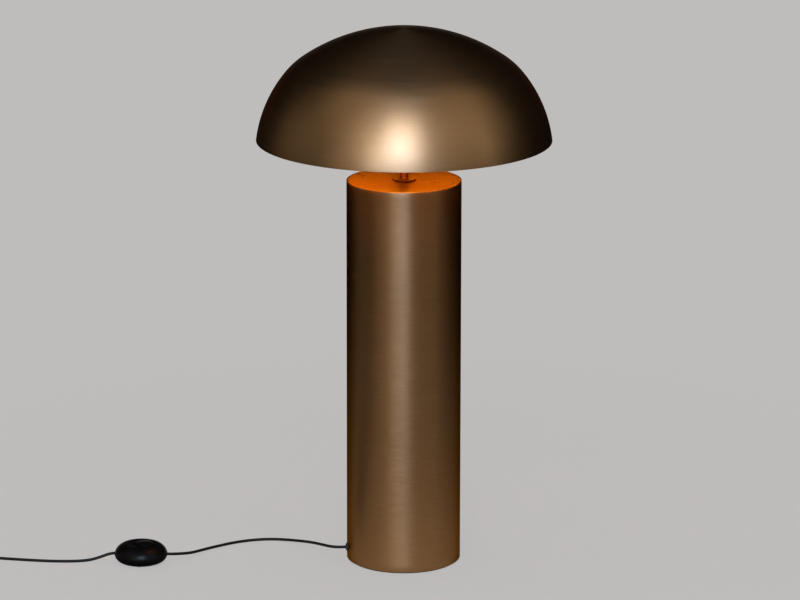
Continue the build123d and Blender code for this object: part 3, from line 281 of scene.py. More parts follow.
@dataclass(frozen=True)
class WorkedMetal(Finish):
    """A metal with the fine lines of its working, and a little cloudiness.

    Lines run along the way it was worked: lines and along are their cells per metre across
    and along it, and bands is the share of wider ones. Past dark_past from the lamp's axis
    the metal takes a painted shade, a dark rim standing out of the light.
    """

    tint: Colour
    rim: Colour
    roughness: float
    grain: Grain = Grain.DRAWN
    streak: float = 0.0
    lines: float = 900.0
    depth: float = 0.00003
    contrast: float = 1.0
    dark_past: float = 1.0
    along: float = 5.0
    bands: float = 0.5
    band_lines: float = 0.16
    band_along: float = 3.0
    drawn_across: float = 0.05
    cloud: Field = Field(7.0, 3.0, 0.55)
    cloud_share: float = 0.3
    tone_range: float = 0.15
    edge_width: float = 0.0002
    line_gloss: float = 0.10
    cloud_gloss: float = 0.08
    relief: float = 0.6

    def sockets(self, g: Graph) -> dict[str, Any]:
        """Return the metal: lines are a noise squeezed across the way they run.

        Args:
            g: the material's graph.

        Returns:
            Values or wires by socket name.
        """
        here = g.place()
        x, y, z = g.split(here)
        out = (x * x + y * y) ** 0.5
        across = {
            Grain.SPUN: out - z,
            Grain.BRUSHED: z,
            Grain.TURNED: out,
            Grain.DRAWN: z * self.drawn_across,
        }[self.grain]
        run, wide = self.along, self.band_along
        fine = g.noise(g.join(x * run, y * run, across * self.lines), LINE_FIELD)
        band_place = g.join(x * wide, y * wide, across * self.lines * self.band_lines)
        lines = fine * (1.0 - self.bands) + g.noise(band_place, BAND_FIELD) * self.bands
        tone = ((lines - 0.5) * self.contrast + 0.5).clamped()
        cloud = g.noise(here, self.cloud)
        low, high = (shaded(self.tint, 1.0 + s * self.tone_range) for s in (-1, 1))
        face = g.mix(tone * (1.0 - self.cloud_share) + cloud * self.cloud_share, low, high)
        # edge marks the painted shade on a rim past dark_past.
        edge = out.rise(self.dark_past, self.dark_past + self.edge_width)
        gloss = (tone - 0.5) * self.line_gloss + (cloud - 0.5) * self.cloud_gloss
        return {
            "Base Color": g.mix(edge, face, PAINTED_RIM_SHADE),
            "Metallic": 1.0,
            "Roughness": self.roughness + gloss,
            "Specular Tint": (*self.rim, 1.0),
            "Anisotropic": self.streak,
            "Anisotropic Rotation": QUARTER_TURN,
            "Normal": g.bump(tone, self.relief, self.depth),
        }


@dataclass(frozen=True)
class Coated(Finish):
    """Plastic, rubber, paint or a casting: slow patches of tone over a fine skin."""

    tint: Colour
    roughness: float
    skin: Field = Field(1400.0, 2.0, 0.6)
    depth: float = 0.00004
    shine: float = 0.4
    relief: float = 0.5
    patch: Field = Field(45.0, 3.0, 0.6)
    dark: float = 0.8
    bright: float = 1.25
    patch_gloss: float = 0.14
    skin_gloss: float = 0.06

    def sockets(self, g: Graph) -> dict[str, Any]:
        """Return the coat: the patches set its tone, and both set how it shines.

        Args:
            g: the material's graph.

        Returns:
            Values or wires by socket name.
        """
        skin, patch = (g.noise(g.place(), cells) for cells in (self.skin, self.patch))
        low, high = shaded(self.tint, self.dark), shaded(self.tint, self.bright)
        gloss = (patch - 0.5) * self.patch_gloss + (skin - 0.5) * self.skin_gloss
        return {
            "Base Color": g.mix(patch, low, high),
            "Roughness": self.roughness + gloss,
            "Specular IOR Level": self.shine,
            "Normal": g.bump(skin, self.relief, self.depth),
        }


@dataclass(frozen=True)
class ClearGlass(Finish):
    """Thin clear glass, drawn as a coat of gloss over what is behind it."""

    tint: Colour
    body: float
    edge_blend: float = 0.35
    edge_body: float = 0.45
    dust: Field = Field(90.0, 3.0, 0.6)
    dust_body: float = 0.03
    dust_tone: float = 0.93
    gloss: float = 0.04
    dust_gloss: float = 0.06

    def sockets(self, g: Graph) -> dict[str, Any]:
        """Return the glass: more solid at a glancing look, as a thin wall is.

        Args:
            g: the material's graph.

        Returns:
            Values or wires by socket name.
        """
        edge = g.add("ShaderNodeLayerWeight", {}, {"Blend": self.edge_blend}, "Facing")
        dust = g.noise(g.place(), self.dust)
        return {
            "Base Color": g.mix(dust, self.tint, shaded(self.tint, self.dust_tone)),
            "Roughness": self.gloss + dust * self.dust_gloss,
            "Alpha": (self.body + edge * self.edge_body + dust * self.dust_body).clamped(),
        }


@dataclass(frozen=True)
class Glowing(Finish):
    """A lit filament's coating."""

    tint: Colour
    power: float
    grain: Field = Field(700.0)
    dim: float = 0.7
    roughness: float = 0.5

    def sockets(self, g: Graph) -> dict[str, Any]:
        """Return the coating: its glow is a little uneven along the rod.

        Args:
            g: the material's graph.

        Returns:
            Values or wires by socket name.
        """
        low = shaded(self.tint, self.dim)
        return {
            "Base Color": self.tint,
            "Roughness": self.roughness,
            "Emission Color": g.mix(g.noise(g.place(), self.grain), low, self.tint),
            "Emission Strength": self.power,
        }


@dataclass(frozen=True)
class Porcelain(Finish):
    """Unglazed white ceramic."""

    tint: Colour
    grain: Field = Field(1500.0, 3.0, 0.6)
    speck: Field = Field(260.0, 2.0, 0.7)
    speck_edge: tuple[float, float] = (0.62, 0.75)
    speck_share: float = 0.5
    speck_tone: float = 0.75
    roughness: float = 0.55
    grain_gloss: float = 0.15
    relief: float = 0.4
    depth: float = 0.00005

    def sockets(self, g: Graph) -> dict[str, Any]:
        """Return the ceramic: fine grain and faint specks.

        Args:
            g: the material's graph.

        Returns:
            Values or wires by socket name.
        """
        grain = g.noise(g.place(), self.grain)
        speck = g.noise(g.place(), self.speck).rise(*self.speck_edge)
        dark = shaded(self.tint, self.speck_tone)
        return {
            "Base Color": g.mix(speck * self.speck_share, self.tint, dark),
            "Roughness": self.roughness + (grain - 0.5) * self.grain_gloss,
            "Normal": g.bump(grain, self.relief, self.depth),
        }


QUARTER_TURN = 0.25
LINE_FIELD = Field(1.0, 3.0, 0.6)
BAND_FIELD = Field(1.0, 2.0, 0.5)
SAND = Field(600.0, 4.0, 0.7)

BRONZE: Colour = (0.42, 0.262, 0.138)
# The tube's bronze is a darker, warmer copy of the dome's: painted shade standing in for how the tube
# is lit.
SHADED_TUBE_BRONZE: Colour = (0.37, 0.22, 0.110)
# Strong orange on the top plate and the disc: a painted glow of the bulb's warm light, added to the
# bulb lamp's real light.
PAINTED_GLOW_BRONZE: Colour = (0.86, 0.50, 0.07)
# Dark red-brown on the stem's sleeve and spacer: painted shadow under the lamp holder, darker than the
# real shadow there.
PAINTED_SHADOW_BRONZE: Colour = (0.30, 0.10, 0.03)
# Dark red-brown past dark_past on a metal: painted shade on the disc's upright rim, out of the bulb's
# light.
PAINTED_RIM_SHADE: Colour = (0.20, 0.055, 0.012)
DARK_RIM: Colour = (0.12, 0.08, 0.05)
SOFT_RIM: Colour = (0.34, 0.25, 0.18)
PALE_RIM: Colour = (0.9, 0.9, 0.9)
FAINT: dict[str, float] = {"lines": 1000.0, "depth": 0.000004, "contrast": 0.5}

DOME = WorkedMetal(
    "spun_bronze", BRONZE, DARK_RIM, 0.38, Grain.SPUN,
    streak=0.40, depth=0.00002, contrast=1.6, along=25.0, bands=0.2,
)
TUBE = WorkedMetal(
    "brushed_bronze_painted_shade", SHADED_TUBE_BRONZE, SOFT_RIM, 0.38, Grain.BRUSHED,
    streak=0.75, lines=800.0, depth=0.00002, contrast=2.0, along=40.0, bands=0.08,
)
INSIDE = Coated(
    "shade_inside", (0.86, 0.60, 0.30), 0.42, Field(420.0), 0.0001, 0.5, 0.4,
    patch=Field(9.0, 3.0, 0.5), dark=0.93, bright=1.0, patch_gloss=0.0, skin_gloss=0.12,
)
# The plate and the disc wear the painted orange glow.
PLATE = WorkedMetal("plate_bronze_painted_glow", PAINTED_GLOW_BRONZE, SOFT_RIM, 0.28, Grain.TURNED, **FAINT, bands=0.2)
DISC = replace(PLATE, name="disc_bronze_painted_glow", bands=0.5, dark_past=0.016)
PAINTED_SHADOW_SLEEVE = WorkedMetal("sleeve_bronze_painted_shadow", PAINTED_SHADOW_BRONZE, DARK_RIM, 0.36)

SLOT_FINISH: dict[str, Finish] = {
    "bronze": WorkedMetal("neck_bronze", BRONZE, SOFT_RIM, 0.30),
    "steel": WorkedMetal("zinc_steel", (0.56, 0.57, 0.58), (0.8, 0.8, 0.8), 0.34),
    "brass_contacts": WorkedMetal("contact_brass", (0.72, 0.50, 0.22), (0.8, 0.7, 0.5), 0.30),
    "pin_nickel": WorkedMetal("pin_nickel", (0.66, 0.64, 0.60), PALE_RIM, 0.18),
    "aluminium": WorkedMetal("bulb_cap_metal", (0.72, 0.72, 0.73), PALE_RIM, 0.28),
    "cast_iron": Coated(
        "cast_iron", (0.05, 0.05, 0.052), 0.62, SAND, 0.0004, 0.5, 0.8,
        patch=SAND, dark=0.6, bright=1.0, patch_gloss=0.3, skin_gloss=0.0,
    ),
    "black_rubber": Coated(
        "black_rubber", (0.022, 0.021, 0.021), 0.62, Field(900.0, 2.0, 0.6), 0.00008
    ),
    "black_plastic": Coated(
        "black_plastic", (0.018, 0.018, 0.019), 0.42, Field(1200.0, 2.0, 0.6), 0.00005
    ),
    "switch_black": Coated(
        "switch_gloss", (0.003, 0.003, 0.0035), 0.30, Field(500.0, 2.0, 0.6), 0.00001, 0.12
    ),
    "lead_black": Coated(
        "lead_sheath", (0.004, 0.004, 0.0045), 0.48, Field(2200.0), 0.00003, 0.25, 0.4,
        patch=Field(60.0, 3.0, 0.6), dark=1.0, bright=1.6, patch_gloss=0.16, skin_gloss=0.0,
    ),
    "tie_black": Coated("tie_strap", (0.016, 0.016, 0.017), 0.5),
    "ceramic": Porcelain("ceramic", (0.82, 0.81, 0.77)),
    "bulb_glass": ClearGlass("bulb_glass", (0.95, 0.90, 0.80), 0.08),
    "mount_glass": ClearGlass("mount_glass", (0.92, 0.92, 0.90), 0.35),
    "filament": Glowing("filament_glow", (1.0, 0.50, 0.14), 8.0),
}


# ---- surfaces
@dataclass
class Surface:
    """Points and faces of one piece, with a finish number for each face."""

    points: np.ndarray
    quads: np.ndarray
    fans: np.ndarray = field(default_factory=lambda: np.zeros((0, 3), int))
    quad_finish: Optional[np.ndarray] = None

    def __add__(self, other: "Surface") -> "Surface":
        """Join two surfaces, the other's faces counted on from this one's.

        Args:
            other: the other surface.

        Returns:
            Both as one.
        """
        shift = len(self.points)
        return Surface(
            np.vstack([self.points, other.points]),
            np.vstack([self.quads, other.quads + shift]),
            np.vstack([self.fans, other.fans + shift]),
        )

    def outwards(self) -> "Surface":
        """Turn the faces outwards, if the sum over triangles of a.(b x c) is below 0.

        Returns:
            The surface.
        """
        triangles = np.vstack([self.quads[:, [0, 1, 2]], self.quads[:, [0, 2, 3]], self.fans])
        a, b, c = (self.points[triangles[:, i]] for i in range(3))
        if np.einsum("ij,ij->i", a, np.cross(b, c)).sum() >= 0:
            return self
        return Surface(self.points, self.quads[:, ::-1], self.fans[:, ::-1], self.quad_finish)

    def piece(self, name: str, finishes: Sequence[Finish], crease: float) -> bpy.types.Object:
        """Return the surface as an object at the origin.

        Args:
            name: the object's name.
            finishes: its finishes, in the order of the face numbers.
            crease: the angle in degrees past which an edge stays sharp.

        Returns:
            The object.
        """
        surface = self.outwards()
        mesh = bpy.data.meshes.new(name)
        faces = surface.quads.tolist() + surface.fans.tolist()
        mesh.from_pydata(surface.points, [], faces)
        mesh.polygons.foreach_set("use_smooth", np.ones(len(faces), bool))
        if surface.quad_finish is not None:
            numbers = np.zeros(len(faces), int)
            numbers[: len(surface.quads)] = surface.quad_finish
            # The last point is the inner pole, so the fan at it has the inner finish.
            inner = surface.fans.max(axis=1) == len(surface.points) - 1
            numbers[len(surface.quads):] = surface.quad_finish.max() * inner
            mesh.polygons.foreach_set("material_index", numbers.astype(np.int32))
        mesh.set_sharp_from_angle(angle=math.radians(crease))
        mesh.update()
        for finish in finishes:
            mesh.materials.append(dress(finish))
        return placed(name, mesh)


ON_AXIS = 1e-9


def arc(
    centre: Sequence[float], radius: float, first: float, last: float, count: int
) -> np.ndarray:
    """Return count points, centre + radius (sin a, cos a), a in degrees from straight up."""
    a = np.radians(np.linspace(first, last, count))
    return np.column_stack([centre[0] + radius * np.sin(a), centre[1] + radius * np.cos(a)])


def bend(
    start: Sequence[float], middle: Sequence[float], end: Sequence[float], count: int
) -> np.ndarray:
    """Return points of the circle arc from start through middle to end.

    The centre is where the two chords' upright bisectors meet, and the angle runs evenly
    from the start to the end on the side of the middle.

    Args:
        start: the first point.
        middle: a point that it passes.
        end: the last point.
        count: how many points it has.

    Returns:
        The points, one row each.
    """
    p, q, r = (np.asarray(v, float) for v in (start, middle, end))
    sides = 2 * np.array([q - p, r - p])
    centre = np.linalg.solve(sides, np.array([q @ q - p @ p, r @ r - p @ p]))
    a, b, c = (np.arctan2(*(v - centre)[::-1]) for v in (p, q, r))
    turn = (c - a) % (2 * np.pi)
    if (b - a) % (2 * np.pi) > turn:
        turn -= 2 * np.pi
    angle = a + turn * np.linspace(0, 1, count)
    reach = np.linalg.norm(p - centre)
    return centre + reach * np.column_stack([np.cos(angle), np.sin(angle)])


def ring_quads(rings: np.ndarray) -> np.ndarray:
    """Return the faces between neighbouring rings of points.

    Args:
        rings: the points' numbers, one ring in each row.

    Returns:
        Four numbers for each face.
    """
    here, there = rings[:-1], rings[1:]
    faces = [here, there, np.roll(there, -1, axis=1), np.roll(here, -1, axis=1)]
    return np.stack(faces, axis=-1).reshape(-1, 4)


def fan(centre: int, ring: np.ndarray) -> np.ndarray:
    """Return the triangles from one point to a ring, by their numbers."""
    return np.column_stack([np.full(len(ring), centre), ring, np.roll(ring, -1)])


def revolve(profile: np.ndarray, sides: int, centre: Point = (0.0, 0.0, 0.0)) -> Surface:
    """Return a profile turned about an upright axis.

    The point of column i and row j is (r_i cos t_j, r_i sin t_j, z_i) with t_j a whole
    turn shared evenly. An end on the axis closes with a fan, and a profile that doesn't
    end on the axis closes on itself.

    Args:
        profile: points as (outwards, up), one row each.
        sides: how many steps the turn has.
        centre: where the axis stands and the height of 0.

    Returns:
        The closed surface.
    """
    start_pole, end_pole = (bool(abs(p[0]) < ON_AXIS) for p in (profile[0], profile[-1]))
    rows = profile[int(start_pole): len(profile) - int(end_pole)]
    t = 2 * np.pi * np.arange(sides) / sides
    r, z = rows[:, :1], rows[:, 1:]
    grid = np.stack([r * np.cos(t), r * np.sin(t), z + 0 * t], axis=-1) + np.asarray(centre)
    points = grid.reshape(-1, 3)
    index = np.arange(len(points)).reshape(len(rows), sides)
    closed = index if start_pole or end_pole else np.vstack([index, index[:1]])
    fans = [np.zeros((0, 3), int)]
    poles = ((start_pole, profile[0], index[0]), (end_pole, profile[-1], index[-1][::-1]))
    for present, pole, ring in poles:
        if present:
            fans.append(fan(len(points), ring))
            points = np.vstack([points, [[centre[0], centre[1], centre[2] + pole[1]]]])
    return Surface(points, ring_quads(closed), np.vstack(fans))


def settle(piece: bpy.types.Object, body: str, slot: str, *nodes: str) -> bpy.types.Object:
    """Put a piece on its body and hide the nodes it stands for.

    Args:
        piece: the object.
        body: the CAD body it moves with.
        slot: the record's material slot; not used.
        nodes: the CAD nodes it stands for.

    Returns:
        The same object.
    """
    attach(piece, body)
    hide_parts(*nodes)
    LOG.info("%s stands for %s", piece.name, ", ".join(nodes))
    return piece


# ---- sub-assemblies
@dataclass
class Shade:
    """The spun dome: three arcs tangent to each other, each a radius and a turn in degrees."""

    crown: tuple[float, float] = (0.2472, 34.4)
    shoulder: tuple[float, float] = (0.1057, 16.4)
    skirt: tuple[float, float] = (0.1761, 31.9)
    rim_height: float = 0.590
    wall: float = 0.0012
    steps: tuple[int, int, int] = (48, 20, 40)
    lip_steps: int = 9
    lip_lift: float = 0.35
    lip_round: float = 0.8
    sides: int = 256

    def centres(self) -> list[tuple[float, float, float, float, float]]:
        """Return each arc as (centre out, centre up, radius, first angle, last angle).

        Each next centre lies on the line from the last one through their common point, so
        the arcs share their tangents. The rim's height then sets the whole shade's.

        Returns:
            The three arcs.
        """
        out, up, angle, arcs = 0.0, 0.0, 0.0, []
        radius = self.crown[0]
        for reach, turn in (self.crown, self.shoulder, self.skirt):
            out += (radius - reach) * math.sin(math.radians(angle))
            up += (radius - reach) * math.cos(math.radians(angle))
            arcs.append((out, up, reach, angle, angle + turn))
            radius, angle = reach, angle + turn
        lift = self.rim_height - (up + radius * math.cos(math.radians(angle)))
        return [(o, u + lift, r, a, b) for o, u, r, a, b in arcs]

    def profile(self) -> tuple[np.ndarray, int]:
        """Return the shade's closed section and the place where its inside begins.

        Outside arcs run down to the rim, a small half round turns under it, and the same
        arcs less the wall run back up.

        Returns:
            The section's points, and how many of them are outside.
        """
        arcs = self.centres()
        top = arcs[0][1] + arcs[0][2]
        outside, inside = (
            np.vstack([[[0.0, top - inset]]] + [
                arc(a[:2], a[2] - inset, a[3], a[4], n)[1:] for a, n in zip(arcs, self.steps)
            ])
            for inset in (0.0, self.wall)
        )
        lip, foot = outside[-1], inside[-1]
        middle, half = (lip + foot) / 2, self.wall / 2
        down = math.degrees(math.atan2(lip[1] - foot[1], lip[0] - foot[0]))
        a = np.radians(np.linspace(down, down - 180.0, self.lip_steps))[1:-1]
        lift = np.array([0.0, self.lip_lift * half])
        under = middle + lift + half * np.column_stack([np.cos(a), self.lip_round * np.sin(a)])
        return np.vstack([outside, under, inside[::-1]]), len(outside) + len(under) // 2

    def build(self) -> bpy.types.Object:
        """Return the shade, bronze outside and painted inside.

        Returns:
            The object.
        """
        section, turn = self.profile()
        surface = revolve(section, self.sides)
        rows = np.repeat(np.arange(len(surface.quads) // self.sides), self.sides)
        surface.quad_finish = (rows >= turn - 1).astype(int)
        shade = surface.piece("shade_dome", (DOME, INSIDE), crease=50.0)
        return settle(shade, "lamp", "bronze", "shade_shell")


@dataclass
class Column:
    """The wide brushed tube that the lamp stands on."""

    radius: float = 0.078
    bore: float = 0.0765
    foot: float = 0.002
    top: float = 0.534
    break_size: float = 0.0004
    break_middle: float = 0.3
    break_steps: int = 5
    rows: int = 60
    sides: int = 256

    def build(self) -> bpy.types.Object:
        """Return the tube: outer wall, broken top edge, bore and a fine foot edge.

        Returns:
            The object.
        """
        e, m = self.break_size, self.break_size * self.break_middle
        r, high = self.radius, self.top
        heights = np.linspace(self.foot + e, high - e, self.rows)
        wall = np.column_stack([np.full_like(heights, r), heights])
        bore = np.column_stack([np.full_like(heights, self.bore), heights[::-1]])
        edge = bend((r, high - e), (r - m, high - m), (r - e, high), self.break_steps)
        foot = [[self.bore, self.foot], [r - e, self.foot]]
        section = np.vstack([wall, edge[1:], [[self.bore, high]], bore[1:], foot])
        tube = revolve(section, self.sides).piece("column_barrel", (TUBE,), crease=50.0)
        return settle(tube, "lamp", "bronze", "column_tube")


@dataclass
class Bulb:
    """The clear filament bulb: its glass and its lit rods."""

    foot: float = 0.6211
    tip: float = 0.7081
    globe: float = 0.030
    neck: float = 0.0124
    blend: float = 0.040
    wall: float = 0.0008
    rods: int = 4
    rod_circle: float = 0.0085
    rod_turn: float = 45.0
    rod_radius: float = 0.00095
    rod_low: float = 0.6463
    rod_high: float = 0.6853
    rod_sides: int = 20
    rod_steps: int = 6
    hollow_steps: int = 14
    globe_steps: int = 40
    sides: int = 96
    crease: float = 60.0

    def wall_points(self, inset: float) -> np.ndarray:
        """Return one wall of the glass: neck, hollow curve and globe, tangent in turn.

        Args:
            inset: how far inside the outer wall it lies.

        Returns:
            The points from the foot to the tip.
        """
        centre = self.tip - self.globe
        reach = self.neck + self.blend
        low = centre - math.sqrt((self.globe + self.blend) ** 2 - reach**2)
        angle = math.degrees(math.atan2(centre - low, reach))
        hollow = arc((reach, low), self.blend + inset, -90.0, angle - 90.0, self.hollow_steps)
        ball = arc((0.0, centre), self.globe - inset, angle + 90.0, 0.0, self.globe_steps)[1:]
        return np.vstack([[[self.neck - inset, self.foot]], hollow, ball])

    def build(self) -> tuple[bpy.types.Object, bpy.types.Object]:
        """Return the glass and the lit rods.

        Returns:
            The two objects.
        """
        section = np.vstack([self.wall_points(0.0)[::-1], self.wall_points(self.wall)])
        glass_finish, lit_finish = ((SLOT_FINISH[s],) for s in ("bulb_glass", "filament"))
        glass = revolve(section, self.sides).piece("bulb_envelope", glass_finish, self.crease)
        settle(glass, "lamp", "bulb_glass", "bulb_glass")
        r, low, high = self.rod_radius, self.rod_low, self.rod_high
        cup = arc((0.0, low + r), r, 180.0, 90.0, self.rod_steps)
        rod = np.vstack([cup, arc((0.0, high - r), r, 90.0, 0.0, self.rod_steps)])
        spots = np.radians(self.rod_turn + 360.0 * np.arange(self.rods) / self.rods)
        out = self.rod_circle
        places = [(out * math.cos(s), out * math.sin(s), 0.0) for s in spots]
        first, *others = (revolve(rod, self.rod_sides, place) for place in places)
        lit = sum(others, first).piece("bulb_rods", lit_finish, self.crease)
        settle(lit, "lamp", "filament", "bulb_filaments")
        return glass, lit


@dataclass
class PressSpring:
    """The coil spring under the foot switch's button, which a press flattens."""

    wire: float = 0.0008
    turns: int = 5
    travel: float = 0.003
    steps_in_turn: int = 32
    sides: int = 8

    def build(self) -> bpy.types.Object:
        """Return the spring: a round wire along a helix in the space of its CAD node.

        The wire's middle is (r cos t, r sin t, p t), and each ring of points stands square
        to it, on (cos t, sin t, 0) and (p sin t, -p cos t, r) over its length.

        Returns:
            The object.
        """
        low, high = (np.array(corner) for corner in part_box("switch_spring"))
        r = (high[0] - low[0] - self.wire) / 2
        t = np.linspace(0.0, 2 * np.pi * self.turns, self.turns * self.steps_in_turn + 1)
        p = (high[2] - low[2] - self.wire) / t[-1]
        axis = np.array([(low[0] + high[0]) / 2, (low[1] + high[1]) / 2, low[2] + self.wire / 2])
        out = np.column_stack([np.cos(t), np.sin(t), 0 * t])
        up = np.column_stack([p * np.sin(t), -p * np.cos(t), r + 0 * t]) / math.hypot(r, p)
        middle = axis + r * out + np.column_stack([0 * t, 0 * t, p * t])
        a = (2 * np.pi * np.arange(self.sides) / self.sides)[None, :, None]
        ring = np.cos(a) * out[:, None] + np.sin(a) * up[:, None]
        points = (middle[:, None] + self.wire / 2 * ring).reshape(-1, 3)
        index = np.arange(len(points)).reshape(len(t), self.sides)
        fans = [fan(len(points), index[0]), fan(len(points) + 1, index[-1][::-1])]
        points = np.vstack([points, middle[[0, -1]]])
        surface = Surface(points, ring_quads(index), np.vstack(fans))
        spring = surface.piece("press_spring", (SLOT_FINISH["steel"],), crease=60.0)
        settle(spring, "lamp", "steel", "switch_spring")
        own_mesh(spring)
        return spring


@dataclass
class Lead:
    """The round black lead: from the column to the foot switch, and on to the plug."""

    diameter: float = 0.004
    exit_out: float = 0.0804
    exit_turn: float = 188.0
    exit_height: float = 0.018
    switch: tuple[float, float] = (-0.3615, -0.0165)
    switch_turn: float = -5.0
    entry_height: float = 0.0115
    grip: float = 0.0265
    coil_centre: tuple[float, float] = (-0.600, -0.037)
    coil_middle: float = 0.024
    coil_pitch: float = 0.00445
    coil_turns: float = 7.25
    coil_start: float = 90.0
    coil_low: float = 0.00255
    coil_high: float = 0.007
    coil_end: float = 0.004
    coil_climb: float = 0.48
    coil_approach: float = 0.024
    plug_run: float = 0.012
    plug_start: float = 0.005
    exit_run: float = 0.010
    grip_run: float = 0.014
    steps_in_turn: int = 16
    line_steps: int = 8
    bevel_steps: int = 5

    def from_axis(self, out: float, height: float) -> np.ndarray:
        """Return the point at this height, straight out from the column along the lead's exit."""
        a = math.radians(self.exit_turn)
        return np.array([out * math.cos(a), out * math.sin(a), height])

    def at_switch(self, along: float) -> np.ndarray:
        """Return a point on the foot switch's lead axis.

        Args:
            along: its distance from the switch's centre, towards the column.

        Returns:
            The point.
        """
        a = math.radians(self.switch_turn)
        x, y = self.switch
        return np.array([x + along * math.cos(a), y + along * math.sin(a), self.entry_height])

    def route(self, start: np.ndarray, end: np.ndarray, stages: np.ndarray) -> np.ndarray:
        """Return the corner points between two places.

        A stage's point is start + share * (end - start), moved back by its offset, at the
        lead's radius plus its lift times the nearer end's height above that.

        Args:
            start: where the stretch begins.
            end: where it ends.
            stages: rows of share, offset and lift.

        Returns:
            The points, one row each.
        """
        share, offset, lift = stages.T
        points = start + share[:, None] * (end - start)
        near = np.where(share < 0.5, start[2], end[2])
        low = self.diameter / 2
        return np.column_stack([points[:, 0], points[:, 1] + offset, low + lift * (near - low)])

    def coil(self) -> np.ndarray:
        """Return the coil's points: a flat spiral in, a climb, and the same spiral out.

        The radius falls by the pitch for each turn down to the middle of the way and
        rises again, and the height steps from the low to the high layer near the middle.
        The points stand a little outside, because the smooth line passes inside them.

        Returns:
            The points, one row each.
        """
        count = round(self.coil_turns * self.steps_in_turn)
        turned = np.linspace(0.0, self.coil_turns, count + 1)
        half = self.coil_turns / 2
        inner = self.coil_middle - self.coil_pitch * half / 2
        radius = inner + self.coil_pitch * np.abs(turned - half)
        radius = radius / (0.75 + 0.25 * math.cos(2 * math.pi / self.steps_in_turn))
        climb = np.clip((turned - half) / self.coil_climb + 0.5, 0.0, 1.0)
        climb = climb * climb * (3 - 2 * climb)
        angle = math.radians(self.coil_start) + 2 * np.pi * turned
        return np.column_stack(
            [
                self.coil_centre[0] + radius * np.cos(angle),
                self.coil_centre[1] + radius * np.sin(angle),
                self.coil_low + climb * (self.coil_high - self.coil_low),
            ]
        )

    def strand(self, name: str, points: np.ndarray) -> bpy.types.Object:
        """Return a round lead on one smooth line with these control points.

        Args:
            name: the object's name.
            points: the control points, one row each.

        Returns:
            The curve object.
        """
        curve = bpy.data.curves.new(name, "CURVE")
        curve.dimensions = "3D"
        spline = curve.splines.new("NURBS")
        spline.points.add(len(points) - 1)
        spline.points.foreach_set("co", np.column_stack([points, np.ones(len(points))]).ravel())
        spline.order_u = 3
        spline.use_endpoint_u = True
        spline.resolution_u = self.line_steps
        spline.use_smooth = True
        curve.bevel_depth = self.diameter / 2
        curve.bevel_resolution = self.bevel_steps
        curve.use_fill_caps = True
        curve.materials.append(dress(SLOT_FINISH["lead_black"]))
        return placed(name, curve)

    def build(self, spring: bpy.types.Object) -> tuple[bpy.types.Object, bpy.types.Object]:
        """Return the two stretches of the lead.

        Args:
            spring: the foot switch's spring; not used.

        Returns:
            The stretch from the column to the switch, and the one from it to the plug.
        """
        first, last = self.from_axis(self.exit_out, self.exit_height), self.at_switch(self.grip)
        stages = np.array([
            (0.082, 0.0028, 0.99), (0.125, 0.0145, 0.93), (0.165, 0.0310, 0.76),
            (0.209, 0.0510, 0.49), (0.259, 0.0695, 0.22), (0.321, 0.0840, 0.04),
            (0.404, 0.0900, 0.0), (0.500, 0.0875, 0.0), (0.600, 0.0775, 0.0),
            (0.690, 0.0620, 0.0), (0.765, 0.0450, 0.08), (0.812, 0.0265, 0.34),
            (0.850, 0.0125, 0.62), (0.900, 0.0030, 0.86),
        ])
        near = np.vstack([
            first, self.from_axis(self.exit_out + self.exit_run, self.exit_height),
            self.route(first, last, stages), self.at_switch(self.grip + self.grip_run), last,
        ])
        column_side = self.strand("lead_to_switch", near)
        settle(column_side, "lamp", "lead_black", "lamp_cord")

        start, coil = self.at_switch(-self.grip), self.coil()
        x, y = self.coil_centre
        outer = self.coil_middle + self.coil_pitch * self.coil_turns / 4
        run_in = np.array([coil[0, 0] + self.coil_end, y + outer, coil[0, 2]])
        stages = np.array([
            (0.142, -0.0024, 0.42), (0.213, -0.0064, 0.07), (0.308, -0.0100, 0.0),
            (0.443, -0.0110, 0.0), (0.597, -0.0075, 0.0), (0.740, -0.0025, 0.02),
        ])
        tail = [[x - outer, y - run, self.coil_high] for run in (self.plug_start, self.plug_run)]
        far = np.vstack([
            start, self.at_switch(-self.grip - self.grip_run), self.route(start, run_in, stages),
            run_in + np.array([self.coil_approach, 0.0, 0.0]), run_in, coil[1:-1], tail,
        ])
        plug_side = self.strand("lead_to_plug", far)
        settle(plug_side, "lamp", "lead_black", "switch_cord", "cord_coil")
        return column_side, plug_side


